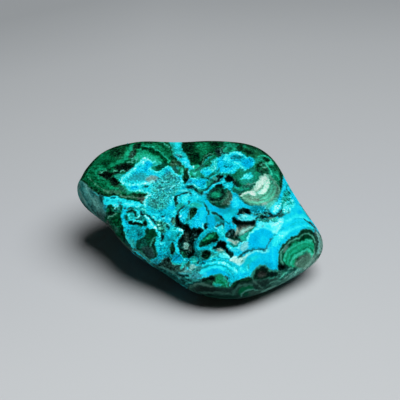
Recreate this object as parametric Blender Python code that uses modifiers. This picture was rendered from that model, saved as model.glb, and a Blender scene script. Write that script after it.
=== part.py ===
"""Polished chrysocolla with malachite: a free-form slab of stone grown as one piece.

The stone rests on a small flat under its middle, with +Z up and its long side
running from back left to front right. The lengths below are in millimetres.
"""
import math
import random

import bmesh
import bpy
from mathutils import Matrix, Vector
from mathutils.bvhtree import BVHTree

MM = 0.001

# One column of the cage for each stretch of the outline: x and y of the girdle,
# its drop below the polished face, and the height of the knee in the flank below
# it, as a share of the girdle's own height.
COLUMNS = (
    (-44.5, 12.0, 7.0, 0.62),
    (-41.0, 4.0, 5.0, 0.60),
    (-32.5, -2.0, 3.0, 0.60),
    (-27.5, -11.0, 2.5, 0.50),
    (-20.5, -16.5, 2.0, 0.45),
    (-11.5, -21.0, 3.0, 0.40),
    (-2.0, -29.5, 4.0, 0.35),
    (15.0, -30.5, 4.5, 0.40),
    (27.5, -22.3, 5.0, 0.40),
    (38.5, -15.0, 6.0, 0.45),
    (45.0, -7.0, 5.0, 0.50),
    (35.0, 5.5, 6.0, 0.50),
    (31.5, 18.5, 8.0, 0.50),
    (25.0, 31.7, 9.0, 0.50),
    (10.0, 32.8, 10.0, 0.50),
    (-3.0, 30.5, 10.0, 0.50),
    (-17.5, 30.7, 10.0, 0.50),
    (-30.5, 30.0, 9.0, 0.55),
    (-39.0, 21.5, 8.0, 0.60),
)

# The polished face: a tilted plane with a low dome on it.
FACE_CENTRE = (1.0, 2.5)
FACE_HEIGHT = 18.5
FACE_RISE_BACKWARD = 0.29
FACE_RISE_RIGHTWARD = -0.066
FACE_DOME = 4.0
FACE_RINGS = (0.91, 0.68, 0.36)

# The flat that the stone rests on, an ellipse turned along the stone.
BASE_CENTRE = (4.0, 0.0)
BASE_HALF_LENGTH = 22.0
BASE_HALF_WIDTH = 14.0
BASE_BEARING = math.radians(-22.0)
BASE_INNER_RING = 0.55
KNEE_REACH = 0.70
SUBDIVISIONS = 2

# Vugs, the natural hollows in the face: x, y, length, width, depth, bearing in degrees.
VUGS = {
    "lobe_left": (-31.0, 8.7, 4.4, 2.6, 2.0, -8.0),
    "lobe_front": (-28.2, 5.7, 3.4, 2.7, 2.0, 60.0),
    "lobe_back": (-25.5, 11.2, 6.4, 2.2, 1.6, 8.0),
    "seam_slot": (-4.3, 8.6, 5.6, 1.8, 2.0, 86.0),
    "seam_lens": (-3.6, 3.6, 3.0, 1.5, 1.0, 10.0),
    "round_pocket": (10.1, 8.0, 3.3, 3.3, 2.0, 0.0),
    "small_gap": (6.4, 4.5, 2.8, 1.5, 1.2, 15.0),
    "three_corner": (13.4, 6.4, 2.6, 2.0, 1.2, 80.0),
    "cleft_top": (-7.1, -8.3, 3.6, 1.7, 1.8, 95.0),
    "cleft_middle": (-4.8, -10.7, 4.8, 2.8, 2.5, -25.0),
    "cleft_end": (-0.2, -13.1, 4.6, 3.0, 2.5, -20.0),
    "well_back": (-4.1, -14.1, 5.8, 4.2, 3.0, 80.0),
    "well_front": (-3.8, -18.6, 6.6, 4.4, 3.0, 95.0),
    "slash_back": (6.5, -16.8, 5.0, 2.0, 1.6, -20.0),
    "slash_front": (9.7, -18.9, 5.2, 1.8, 1.6, -55.0),
    "grey_nook": (10.4, -13.2, 4.0, 2.8, 1.8, 60.0),
    "ledge_slot": (14.7, -7.1, 8.2, 2.4, 2.8, -6.0),
    "ledge_floor": (14.3, -11.4, 6.6, 4.6, 1.7, 75.0),
    "upper_slot": (15.2, -4.2, 4.6, 2.2, 1.8, -8.0),
    "groove_left": (-12.0, -14.5, 3.6, 1.2, 1.2, 85.0),
    "groove_right": (-8.4, -17.7, 5.0, 1.3, 1.4, 95.0),
}
VUG_SEGMENTS = 10
VUG_RINGS = 6
VUG_RAGGEDNESS = 0.10
VUG_SEED = 11

# The shell-shaped chip: a shallow dish, steeper on the side away from the right end.
CHIP_PLACE = (20.4, 5.1)
CHIP_WIDTH = 13.4
CHIP_DEPTH = 1.9
CHIP_LEAN = math.radians(9.0)
CHIP_SEGMENTS = 40
CHIP_RINGS = 20


def lerp(start, end, share):
    """Point a share of the way from start to end."""
    return start + (end - start) * share


def face_point(x, y, ring):
    """Point of the polished face, a share of the way from its centre to (x, y)."""
    point = lerp(Vector((*FACE_CENTRE, 0.0)), Vector((x, y, 0.0)), ring)
    plane = FACE_HEIGHT + FACE_RISE_BACKWARD * point.y + FACE_RISE_RIGHTWARD * point.x
    point.z = plane + FACE_DOME * (1.0 - ring * ring)
    return point


def base_point(bearing, share):
    """Point of the resting flat on the given bearing from its centre."""
    turned = bearing - BASE_BEARING
    across = BASE_HALF_WIDTH * math.cos(turned)
    along = BASE_HALF_LENGTH * math.sin(turned)
    reach = share * BASE_HALF_LENGTH * BASE_HALF_WIDTH / math.hypot(across, along)
    return Vector((*BASE_CENTRE, 0.0)) + reach * Vector((math.cos(bearing), math.sin(bearing), 0.0))


def column_points(x, y, drop, knee_height):
    """Points of one column of the cage, from the resting flat up to the face."""
    girdle = face_point(x, y, 1.0)
    girdle.z -= drop
    bearing = math.atan2(y - BASE_CENTRE[1], x - BASE_CENTRE[0])
    foot = base_point(bearing, 1.0)
    knee = lerp(foot, girdle, KNEE_REACH)
    knee.z = girdle.z * knee_height
    face = [face_point(x, y, ring) for ring in FACE_RINGS]
    return [base_point(bearing, BASE_INNER_RING), foot, knee, girdle, *face]


def stone_cage():
    """Closed coarse cage of the stone, lofted from column to column."""
    cage = bmesh.new()
    columns = [[cage.verts.new(point * MM) for point in column_points(*values)] for values in COLUMNS]
    sole = cage.verts.new(Vector((*BASE_CENTRE, 0.0)) * MM)
    crown = cage.verts.new(face_point(*FACE_CENTRE, 0.0) * MM)
    for here, beside in zip(columns, columns[1:] + columns[:1]):
        cage.faces.new((sole, beside[0], here[0]))
        cage.faces.new((crown, here[-1], beside[-1]))
        for low, high in zip(range(len(here) - 1), range(1, len(here))):
            cage.faces.new((here[low], beside[low], beside[high], here[high]))
    bmesh.ops.recalc_face_normals(cage, faces=cage.faces)
    mesh = bpy.data.meshes.new("stone")
    cage.to_mesh(mesh)
    cage.free()
    return mesh


def evaluated_mesh(thing):
    """The object's mesh with its modifiers applied."""
    bpy.context.view_layer.update()
    return bpy.data.meshes.new_from_object(thing.evaluated_get(bpy.context.evaluated_depsgraph_get()))


def centre_over_origin(stone):
    """Move the cage so that the rounded stone's box is centred over the origin."""
    rounded = evaluated_mesh(stone)
    across = [vertex.co.x for vertex in rounded.vertices]
    along = [vertex.co.y for vertex in rounded.vertices]
    middle = Vector((min(across) + max(across), min(along) + max(along), 0.0)) / 2
    stone.data.transform(Matrix.Translation(-middle))
    bpy.data.meshes.remove(rounded)


def surface_above(stone, x, y):
    """Point and normal of the rounded stone, straight above a place in plan."""
    bpy.context.view_layer.update()
    tree = BVHTree.FromObject(stone, bpy.context.evaluated_depsgraph_get())
    start = Vector((x, y, 2 * FACE_HEIGHT)) * MM
    point, normal, _, _ = tree.ray_cast(start, Vector((0.0, 0.0, -1.0)))
    return point, normal


def add_cutter(name, cutter, placement, cutters):
    """Put a cutter's mesh in the cutters' collection, hidden from the render."""
    mesh = bpy.data.meshes.new(name)
    cutter.to_mesh(mesh)
    cutter.free()
    thing = bpy.data.objects.new(name, mesh)
    thing.matrix_world = placement
    thing.display_type = "WIRE"
    thing.hide_render = True
    cutters.objects.link(thing)


def add_vug(name, values, stone, cutters, chance):
    """Ragged ellipsoid, sunk to its middle in the face."""
    x, y, length, width, depth, bearing = values
    point, normal = surface_above(stone, x, y)
    cutter = bmesh.new()
    bmesh.ops.create_uvsphere(cutter, u_segments=VUG_SEGMENTS, v_segments=VUG_RINGS, radius=1.0)
    for vertex in cutter.verts:
        vertex.co *= 1.0 + chance.uniform(-VUG_RAGGEDNESS, VUG_RAGGEDNESS)
    bmesh.ops.scale(cutter, vec=Vector((length / 2, width / 2, depth)) * MM, verts=cutter.verts)
    turn = Matrix.Rotation(math.radians(bearing), 4, "Z")
    tilt = normal.to_track_quat("Z", "Y").to_matrix().to_4x4()
    add_cutter(name, cutter, Matrix.Translation(point) @ tilt @ turn, cutters)


def add_chip(stone, cutters):
    """Large ball that takes the shell-shaped chip out of the face."""
    point, normal = surface_above(stone, *CHIP_PLACE)
    radius = ((CHIP_WIDTH / 2) ** 2 + CHIP_DEPTH ** 2) / (2 * CHIP_DEPTH)
    cutter = bmesh.new()
    bmesh.ops.create_uvsphere(cutter, u_segments=CHIP_SEGMENTS, v_segments=CHIP_RINGS, radius=radius * MM)
    lean = Matrix.Rotation(CHIP_LEAN, 4, "Y")
    centre = point + (lean @ normal) * (radius - CHIP_DEPTH) * MM
    add_cutter("chip", cutter, Matrix.Translation(centre), cutters)


def make_material():
    """Polished blue-green stone."""
    material = bpy.data.materials.new("polished chrysocolla")
    material.use_nodes = True
    shader = material.node_tree.nodes["Principled BSDF"]
    shader.inputs["Base Color"].default_value = (0.01, 0.45, 0.50, 1.0)
    shader.inputs["Roughness"].default_value = 0.22
    shader.inputs["Metallic"].default_value = 0.0
    return material


def new_collection(name):
    """Collection of the given name, in the scene."""
    collection = bpy.data.collections.new(name)
    bpy.context.scene.collection.children.link(collection)
    return collection


def main():
    for old in list(bpy.data.objects):
        bpy.data.objects.remove(old)
    stone = bpy.data.objects.new("stone", stone_cage())
    stone.data.materials.append(make_material())
    stone.data.shade_smooth()
    new_collection("chrysocolla stone").objects.link(stone)
    rounding = stone.modifiers.new("rounding", "SUBSURF")
    rounding.levels = SUBDIVISIONS
    rounding.render_levels = SUBDIVISIONS
    centre_over_origin(stone)

    cutters = new_collection("cutters")
    chance = random.Random(VUG_SEED)
    for name, values in VUGS.items():
        add_vug(name, values, stone, cutters, chance)
    add_chip(stone, cutters)
    hollows = stone.modifiers.new("hollows", "BOOLEAN")
    hollows.operation = "DIFFERENCE"
    hollows.operand_type = "COLLECTION"
    hollows.collection = cutters
    hollows.solver = "EXACT"


main()
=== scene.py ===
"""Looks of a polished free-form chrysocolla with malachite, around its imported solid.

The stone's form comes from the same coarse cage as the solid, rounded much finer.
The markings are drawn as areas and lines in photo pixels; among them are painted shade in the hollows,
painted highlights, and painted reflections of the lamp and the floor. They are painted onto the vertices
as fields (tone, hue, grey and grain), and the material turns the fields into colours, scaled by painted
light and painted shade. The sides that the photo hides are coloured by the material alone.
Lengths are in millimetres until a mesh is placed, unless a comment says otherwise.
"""
import itertools
import math

import bmesh
import bpy
import numpy as np
from mathutils import Matrix, Vector
from mathutils.bvhtree import BVHTree


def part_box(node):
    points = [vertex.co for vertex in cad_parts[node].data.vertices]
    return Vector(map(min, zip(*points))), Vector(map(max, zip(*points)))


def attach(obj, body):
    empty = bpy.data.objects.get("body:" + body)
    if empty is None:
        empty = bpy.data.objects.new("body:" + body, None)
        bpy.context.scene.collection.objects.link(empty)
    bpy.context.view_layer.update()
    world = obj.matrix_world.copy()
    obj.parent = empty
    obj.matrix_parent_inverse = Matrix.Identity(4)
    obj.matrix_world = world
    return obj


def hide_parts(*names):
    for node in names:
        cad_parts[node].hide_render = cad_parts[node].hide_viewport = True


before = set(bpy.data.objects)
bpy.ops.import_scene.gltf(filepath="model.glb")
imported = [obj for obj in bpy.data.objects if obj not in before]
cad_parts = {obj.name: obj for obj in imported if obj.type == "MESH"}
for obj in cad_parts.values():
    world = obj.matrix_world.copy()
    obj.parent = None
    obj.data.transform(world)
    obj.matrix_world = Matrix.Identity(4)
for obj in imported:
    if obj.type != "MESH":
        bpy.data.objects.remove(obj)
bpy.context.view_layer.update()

MM = 0.001

# Seeds of the noises.
SEEDS = {
    "waves": 61,
    "druse": 67,
    "border": 51,
    "wobble": (31, 41),
    "balls": (71, 81, 91),
}

# ---------------------------------------------------------------- camera of the photo
# Side of the photo in pixels, then the camera's place and the point that it looks at.
PHOTO_SIDE = 400.0
PHOTO_ELEVATION = math.radians(38.0)
PHOTO_FIELD = math.radians(22.0)
PHOTO_DISTANCE = 339.5
PHOTO_AIM = Vector((0.4, -0.2, 21.5))

# ---------------------------------------------------------------- form of the stone
# Column of the cage: x, y, drop of the girdle below the face, height of the knee as a share of the girdle's.
COLUMNS = (
    (-44.5, 12.0, 7.0, 0.62),
    (-41.0, 4.0, 5.0, 0.60),
    (-32.5, -2.0, 3.0, 0.60),
    (-27.5, -11.0, 2.5, 0.50),
    (-20.5, -16.5, 2.0, 0.45),
    (-11.5, -21.0, 3.0, 0.40),
    (-2.0, -29.5, 4.0, 0.35),
    (15.0, -30.5, 4.5, 0.40),
    (27.5, -22.3, 5.0, 0.40),
    (38.5, -15.0, 6.0, 0.45),
    (45.0, -7.0, 5.0, 0.50),
    (35.0, 5.5, 6.0, 0.50),
    (31.5, 18.5, 8.0, 0.50),
    (25.0, 31.7, 9.0, 0.50),
    (10.0, 32.8, 10.0, 0.50),
    (-3.0, 30.5, 10.0, 0.50),
    (-17.5, 30.7, 10.0, 0.50),
    (-30.5, 30.0, 9.0, 0.55),
    (-39.0, 21.5, 8.0, 0.60),
)
# Polished face: its centre, height there, slopes, dome and the rings of the cage that lie on it.
FACE_CENTRE = (1.0, 2.5)
FACE_HEIGHT = 18.5
FACE_RISE_BACKWARD = 0.29
FACE_RISE_RIGHTWARD = -0.066
FACE_DOME = 4.0
FACE_RINGS = (0.91, 0.68, 0.36)
# Resting flat, and how far the knee of a column lies from it towards the girdle.
BASE_CENTRE = (4.0, 0.0)
BASE_HALF_LENGTH = 22.0
BASE_HALF_WIDTH = 14.0
BASE_BEARING = math.radians(-22.0)
BASE_INNER_RING = 0.55
KNEE_REACH = 0.70

# Levels of rounding: the solid's, the skin's before its faces are split, and the form that it is fitted to.
SOLID_LEVEL = 2
COARSE_LEVEL = 3
GUIDE_LEVEL = 5
# How often the skin's faces are split where they face the camera by more than this cosine.
FACE_SPLITS = 2
SPLIT_FACING = -0.2


def lerp(start, end, share):
    """Point a share of the way from start to end."""
    return start + (end - start) * share


def face_point(x, y, ring):
    """Point of the polished face, a share of the way from its centre to (x, y)."""
    point = lerp(Vector((*FACE_CENTRE, 0.0)), Vector((x, y, 0.0)), ring)
    plane = FACE_HEIGHT + FACE_RISE_BACKWARD * point.y + FACE_RISE_RIGHTWARD * point.x
    point.z = plane + FACE_DOME * (1.0 - ring * ring)
    return point


def base_point(bearing, share):
    """Point of the resting flat on the given bearing from its centre."""
    turned = bearing - BASE_BEARING
    across = BASE_HALF_WIDTH * math.cos(turned)
    along = BASE_HALF_LENGTH * math.sin(turned)
    reach = share * BASE_HALF_LENGTH * BASE_HALF_WIDTH / math.hypot(across, along)
    return Vector((*BASE_CENTRE, 0.0)) + reach * Vector((math.cos(bearing), math.sin(bearing), 0.0))


def column_points(x, y, drop, knee_height):
    """Points of one column of the cage, from the resting flat up to the face."""
    girdle = face_point(x, y, 1.0)
    girdle.z -= drop
    bearing = math.atan2(y - BASE_CENTRE[1], x - BASE_CENTRE[0])
    foot = base_point(bearing, 1.0)
    knee = lerp(foot, girdle, KNEE_REACH)
    knee.z = girdle.z * knee_height
    face = [face_point(x, y, ring) for ring in FACE_RINGS]
    return [base_point(bearing, BASE_INNER_RING), foot, knee, girdle, *face]


def stone_cage():
    """Closed coarse cage of the stone, lofted from column to column."""
    cage = bmesh.new()
    columns = [[cage.verts.new(point) for point in column_points(*values)] for values in COLUMNS]
    sole = cage.verts.new(Vector((*BASE_CENTRE, 0.0)))
    crown = cage.verts.new(face_point(*FACE_CENTRE, 0.0))
    for here, beside in zip(columns, columns[1:] + columns[:1]):
        cage.faces.new((sole, beside[0], here[0]))
        cage.faces.new((crown, here[-1], beside[-1]))
        for low, high in zip(range(len(here) - 1), range(1, len(here))):
            cage.faces.new((here[low], beside[low], beside[high], here[high]))
    bmesh.ops.recalc_face_normals(cage, faces=cage.faces)
    mesh = bpy.data.meshes.new("cage")
    cage.to_mesh(mesh)
    cage.free()
    return mesh


def rounded(cage, level):
    """The cage rounded by a Subdivision Surface of the given level, as a new mesh."""
    holder = bpy.data.objects.new("holder", cage)
    bpy.context.scene.collection.objects.link(holder)
    rounding = holder.modifiers.new("rounding", "SUBSURF")
    rounding.levels = level
    bpy.context.view_layer.update()
    mesh = bpy.data.meshes.new_from_object(holder.evaluated_get(bpy.context.evaluated_depsgraph_get()))
    bpy.data.objects.remove(holder)
    return mesh


def vertex_array(mesh):
    """Vertex places of a mesh as an array of rows."""
    flat = np.empty(len(mesh.vertices) * 3)
    mesh.vertices.foreach_get("co", flat)
    return flat.reshape(-1, 3)


def cage_in_frame():
    """The cage in millimetres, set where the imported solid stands."""
    cage = stone_cage()
    low, high = (np.array(corner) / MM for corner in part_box("stone"))
    places = vertex_array(rounded(cage, SOLID_LEVEL))
    size = places.max(axis=0) - places.min(axis=0)
    cage.transform(Matrix.Diagonal((*((high - low) / size), 1.0)))
    places = vertex_array(rounded(cage, SOLID_LEVEL))
    cage.transform(Matrix.Translation(Vector(low - places.min(axis=0))))
    return cage


def photo_axes():
    """Eye of the photo's camera, and its right, up and backward directions."""
    back = Vector((0.0, -math.cos(PHOTO_ELEVATION), math.sin(PHOTO_ELEVATION)))
    right = Vector((1.0, 0.0, 0.0))
    return PHOTO_AIM + back * PHOTO_DISTANCE, right, back.cross(right), back


def photo_pixels(places):
    """Where each place shows in the photo, in its pixels."""
    eye, right, up, back = (np.array(part) for part in photo_axes())
    lens = PHOTO_SIDE / 2 / math.tan(PHOTO_FIELD / 2)
    offset = places - eye
    depth = -(offset @ back)
    across = PHOTO_SIDE / 2 + lens * (offset @ right) / depth
    down = PHOTO_SIDE / 2 - lens * (offset @ up) / depth
    return np.stack([across, down], axis=1)


def photo_facing(places, normals):
    """Cosine between each normal and the way to the photo's camera."""
    eye = np.array(photo_axes()[0])
    way = eye - places
    way /= np.linalg.norm(way, axis=1)[:, None]
    return np.einsum("ij,ij->i", way, normals)


def fine_mesh(cage):
    """Rounded stone with small faces where the photo looks."""
    guide = rounded(cage, GUIDE_LEVEL)
    tree_mesh = bmesh.new()
    tree_mesh.from_mesh(guide)
    tree = BVHTree.FromBMesh(tree_mesh)
    body = bmesh.new()
    body.from_mesh(rounded(cage, COARSE_LEVEL))
    eye = photo_axes()[0]
    for _ in range(FACE_SPLITS):
        body.normal_update()
        seen = [face for face in body.faces
                if face.normal.dot((eye - face.calc_center_median()).normalized()) > SPLIT_FACING]
        edges = {edge for face in seen for edge in face.edges}
        bmesh.ops.subdivide_edges(body, edges=list(edges), cuts=1, use_grid_fill=True)
        for vertex in body.verts:
            vertex.co = tree.find_nearest(vertex.co)[0]
    tree_mesh.free()
    mesh = bpy.data.meshes.new("stone_skin")
    body.to_mesh(mesh)
    body.free()
    return mesh


def vertex_normals(mesh):
    """Vertex normals of a mesh as an array of rows."""
    flat = np.empty(len(mesh.vertices) * 3)
    mesh.vertex_normals.foreach_get("vector", flat)
    return flat.reshape(-1, 3)


# ---------------------------------------------------------------- noise
NOISE_SLOTS = 256
NOISE_REACH = 1.6


def perlin(places, seed):
    """Smooth seeded noise, between about -1 and 1, with cells of one unit."""
    chance = np.random.default_rng(seed)
    slots = chance.permutation(NOISE_SLOTS)
    slopes = chance.normal(size=(NOISE_SLOTS, 3))
    slopes /= np.linalg.norm(slopes, axis=1)[:, None]
    cell = np.floor(places).astype(int)
    inside = places - cell
    fade = inside ** 3 * (inside * (inside * 6.0 - 15.0) + 10.0)
    total = np.zeros(len(places))
    for corner in itertools.product((0, 1), repeat=3):
        index = 0
        for step in (cell + np.array(corner)).T:
            index = slots[(index + step) % NOISE_SLOTS]
        share = np.prod(np.where(corner, fade, 1.0 - fade), axis=1)
        total += share * np.einsum("ij,ij->i", slopes[index], inside - np.array(corner))
    return total * NOISE_REACH


def fractal(places, size, octaves, seed):
    """Sum of noises whose first cells are of the given size."""
    total = np.zeros(len(places))
    for octave in range(octaves):
        total += perlin(places * 2.0 ** octave / size, seed + octave) / 2.0 ** octave
    return total


def smooth_step(share):
    """Share kept between 0 and 1, with soft ends."""
    share = np.clip(share, 0.0, 1.0)
    return share * share * (3.0 - 2.0 * share)


# ---------------------------------------------------------------- drawn outlines and brushes
# Part cut off each end of a drawn side, and the soft edges of lines and of plain outlines, in pixels.
CORNER_CUT = 0.25
LINE_EDGE = 0.9
SHAPE_EDGE = 2.0
TINY = 1e-9


def cut_corners(points, closed):
    """One round of corner cutting, which turns a drawn outline into a curve."""
    ahead = np.roll(points, -1, axis=0) if closed else points[1:]
    here = points if closed else points[:-1]
    near_end = here * (1.0 - CORNER_CUT) + ahead * CORNER_CUT
    far_end = here * CORNER_CUT + ahead * (1.0 - CORNER_CUT)
    pairs = np.stack([near_end, far_end], axis=1).reshape(-1, 2)
    return pairs if closed else np.vstack([points[:1], pairs, points[-1:]])


def line_distance(pixels, points, closed=False):
    """Distance in pixels from each pixel to a drawn line."""
    curve = cut_corners(points, closed)
    ends = np.roll(curve, -1, axis=0) if closed else curve[1:]
    nearest = np.full(len(pixels), np.inf)
    for start, end in zip(curve, ends):
        run = end - start
        share = np.clip((pixels - start) @ run / max(run @ run, TINY), 0.0, 1.0)
        gap = pixels - start - share[:, None] * run
        nearest = np.minimum(nearest, gap[:, 0] ** 2 + gap[:, 1] ** 2)
    return np.sqrt(nearest)


def outline_depth(pixels, points):
    """Distance in pixels inside a closed outline, negative outside it."""
    curve = cut_corners(points, True)
    within = np.zeros(len(pixels), dtype=bool)
    for (x0, y0), (x1, y1) in zip(curve, np.roll(curve, -1, axis=0)):
        if y0 == y1:
            continue
        crosses = (y0 > pixels[:, 1]) != (y1 > pixels[:, 1])
        within ^= crosses & (pixels[:, 0] < x0 + (pixels[:, 1] - y0) * (x1 - x0) / (y1 - y0))
    distance = line_distance(pixels, points, True)
    return np.where(within, distance, -distance)


def near(pixels, points, reach):
    """Which pixels lie within reach of the box round some points."""
    low, high = points.min(axis=0) - reach, points.max(axis=0) + reach
    return np.flatnonzero(np.all((pixels > low) & (pixels < high), axis=1))


def drawn(numbers):
    """Points of an outline written as x,y pairs in a row."""
    return np.array(numbers, dtype=float).reshape(-1, 2)


def area_share(pixels, edge, numbers):
    """Pixels in and round an outlined area, and how far each is covered by it."""
    points = drawn(numbers)
    where = near(pixels, points, edge)
    return where, np.clip(outline_depth(pixels[where], points) / edge + 0.5, 0.0, 1.0)


def line_share(pixels, width, numbers):
    """Pixels round a drawn line, and how far each is covered by it."""
    points = drawn(numbers)
    where = near(pixels, points, width / 2 + LINE_EDGE)
    return where, np.clip((width / 2 - line_distance(pixels[where], points)) / LINE_EDGE + 0.5, 0.0, 1.0)


def lay(fields, where, share, look):
    """Cover some places with a look, as far as their shares say."""
    for name, value in zip(("tone", "hue", "grey"), look):
        fields[name][where] += (value - fields[name][where]) * share


def area(fields, pixels, look, edge, numbers):
    """Give an outlined area a look."""
    lay(fields, *area_share(pixels, edge, numbers), look)


def line(fields, pixels, look, width, numbers):
    """Give a drawn line a look."""
    lay(fields, *line_share(pixels, width, numbers), look)


def shade(fields, pixels, look, edge, numbers):
    """Add the look's tone within an outline, and leave its hue and its share of grey."""
    where, share = area_share(pixels, edge, numbers)
    fields["tone"][where] += look[0] * share


# Noises that make up the layers of a banded area: share, scale, shift and seed.
BAND_NOISES = ((1.0, 1.0, 0.37, 7), (0.5, 2.1, 5.3, 8))
BAND_STRENGTH = 1.5


def bands(fields, pixels, look, spacing, shapes):
    """Add a look in layers that run beside a guide line, within an outline."""
    outline, guide = shapes
    where, share = area_share(pixels, SHAPE_EDGE, outline)
    beside = np.zeros((len(where), 3))
    beside[:, 0] = line_distance(pixels[where], drawn(guide)) / spacing
    layer = sum(part * perlin(beside * scale + shift, seed) for part, scale, shift, seed in BAND_NOISES)
    for name, change in zip(("tone", "hue", "grey"), look):
        fields[name][where] += BAND_STRENGTH * change * layer * share


# ---------------------------------------------------------------- markings, drawn in photo pixels
# Outlines of whole zones.
LOBE_OUTLINE = (70,185, 82,180, 85,183, 90,188, 95,192, 100,194.5, 105,196.5, 110,196, 115,195, 118,195.5,
    121,197, 125,199, 130,199.5, 135,199.5, 140,201, 143,203, 146,199, 149,194, 143,192, 139,190, 135,191,
    131,190.5, 128,189, 125,186, 122,184, 120,182, 117,178, 114,176, 118,174, 123,175, 125,174, 129,171,
    132,168, 136,165, 140,160, 143,157, 145,156.5, 148,159, 151,160.5, 155,161, 159,162, 159,164, 156,166,
    153,168, 155,170, 158,172, 160,170.5, 162,168, 165,166.5, 168,166, 171,167, 173,170, 175,173, 178,174.5,
    181,175.5, 184,171, 186,168.5, 183,165, 181,162, 178,159.5, 174,157, 172,153, 171,149, 170,145, 168,132,
    110,130, 80,155)
CROWN_OUTLINE = (182,132, 182,148, 184,152, 187,155.5, 189,158, 190,161, 190.5,164.5, 193,166, 196,165.5,
    200,165, 203,164, 205,160, 208,157, 212,156, 216,157, 220,156, 223,153, 224,149, 226,146.5, 229,144,
    231,132)
STEP_OUTLINE = (189,171, 193,169.5, 195,167, 199,167, 203,165, 206,166, 202,169.5, 199,171, 203,174.5,
    205,177, 200,179, 195,179, 190,179, 188,176)
SHOULDER_OUTLINE = (222,130, 224,149, 224,152.5, 231,152, 235,151, 239,151.5, 243,153.5, 247,156, 251,157,
    255,159, 256.5,162, 254,166, 250,168.5, 246,170.5, 243,171.5, 240,169.5, 237,171.5, 233,173.5,
    230,175.5, 234,178.5, 236,182, 237,186, 240,189, 244,190, 241,194, 238,197, 242,202, 248,206, 254,207.5,
    260,207.5, 266,206.5, 271,203.5, 276,199.5, 279,195, 281.5,189, 283,183, 284,176, 290,166, 275,145,
    255,130)
SMALL_EYE_OUTLINE = (207,200, 208,196, 210,190, 214,187, 220,186, 226,188.5, 230,191, 232,195, 232,199,
    230,203, 229,208, 226,210, 222,209, 215,205, 209,203)
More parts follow.
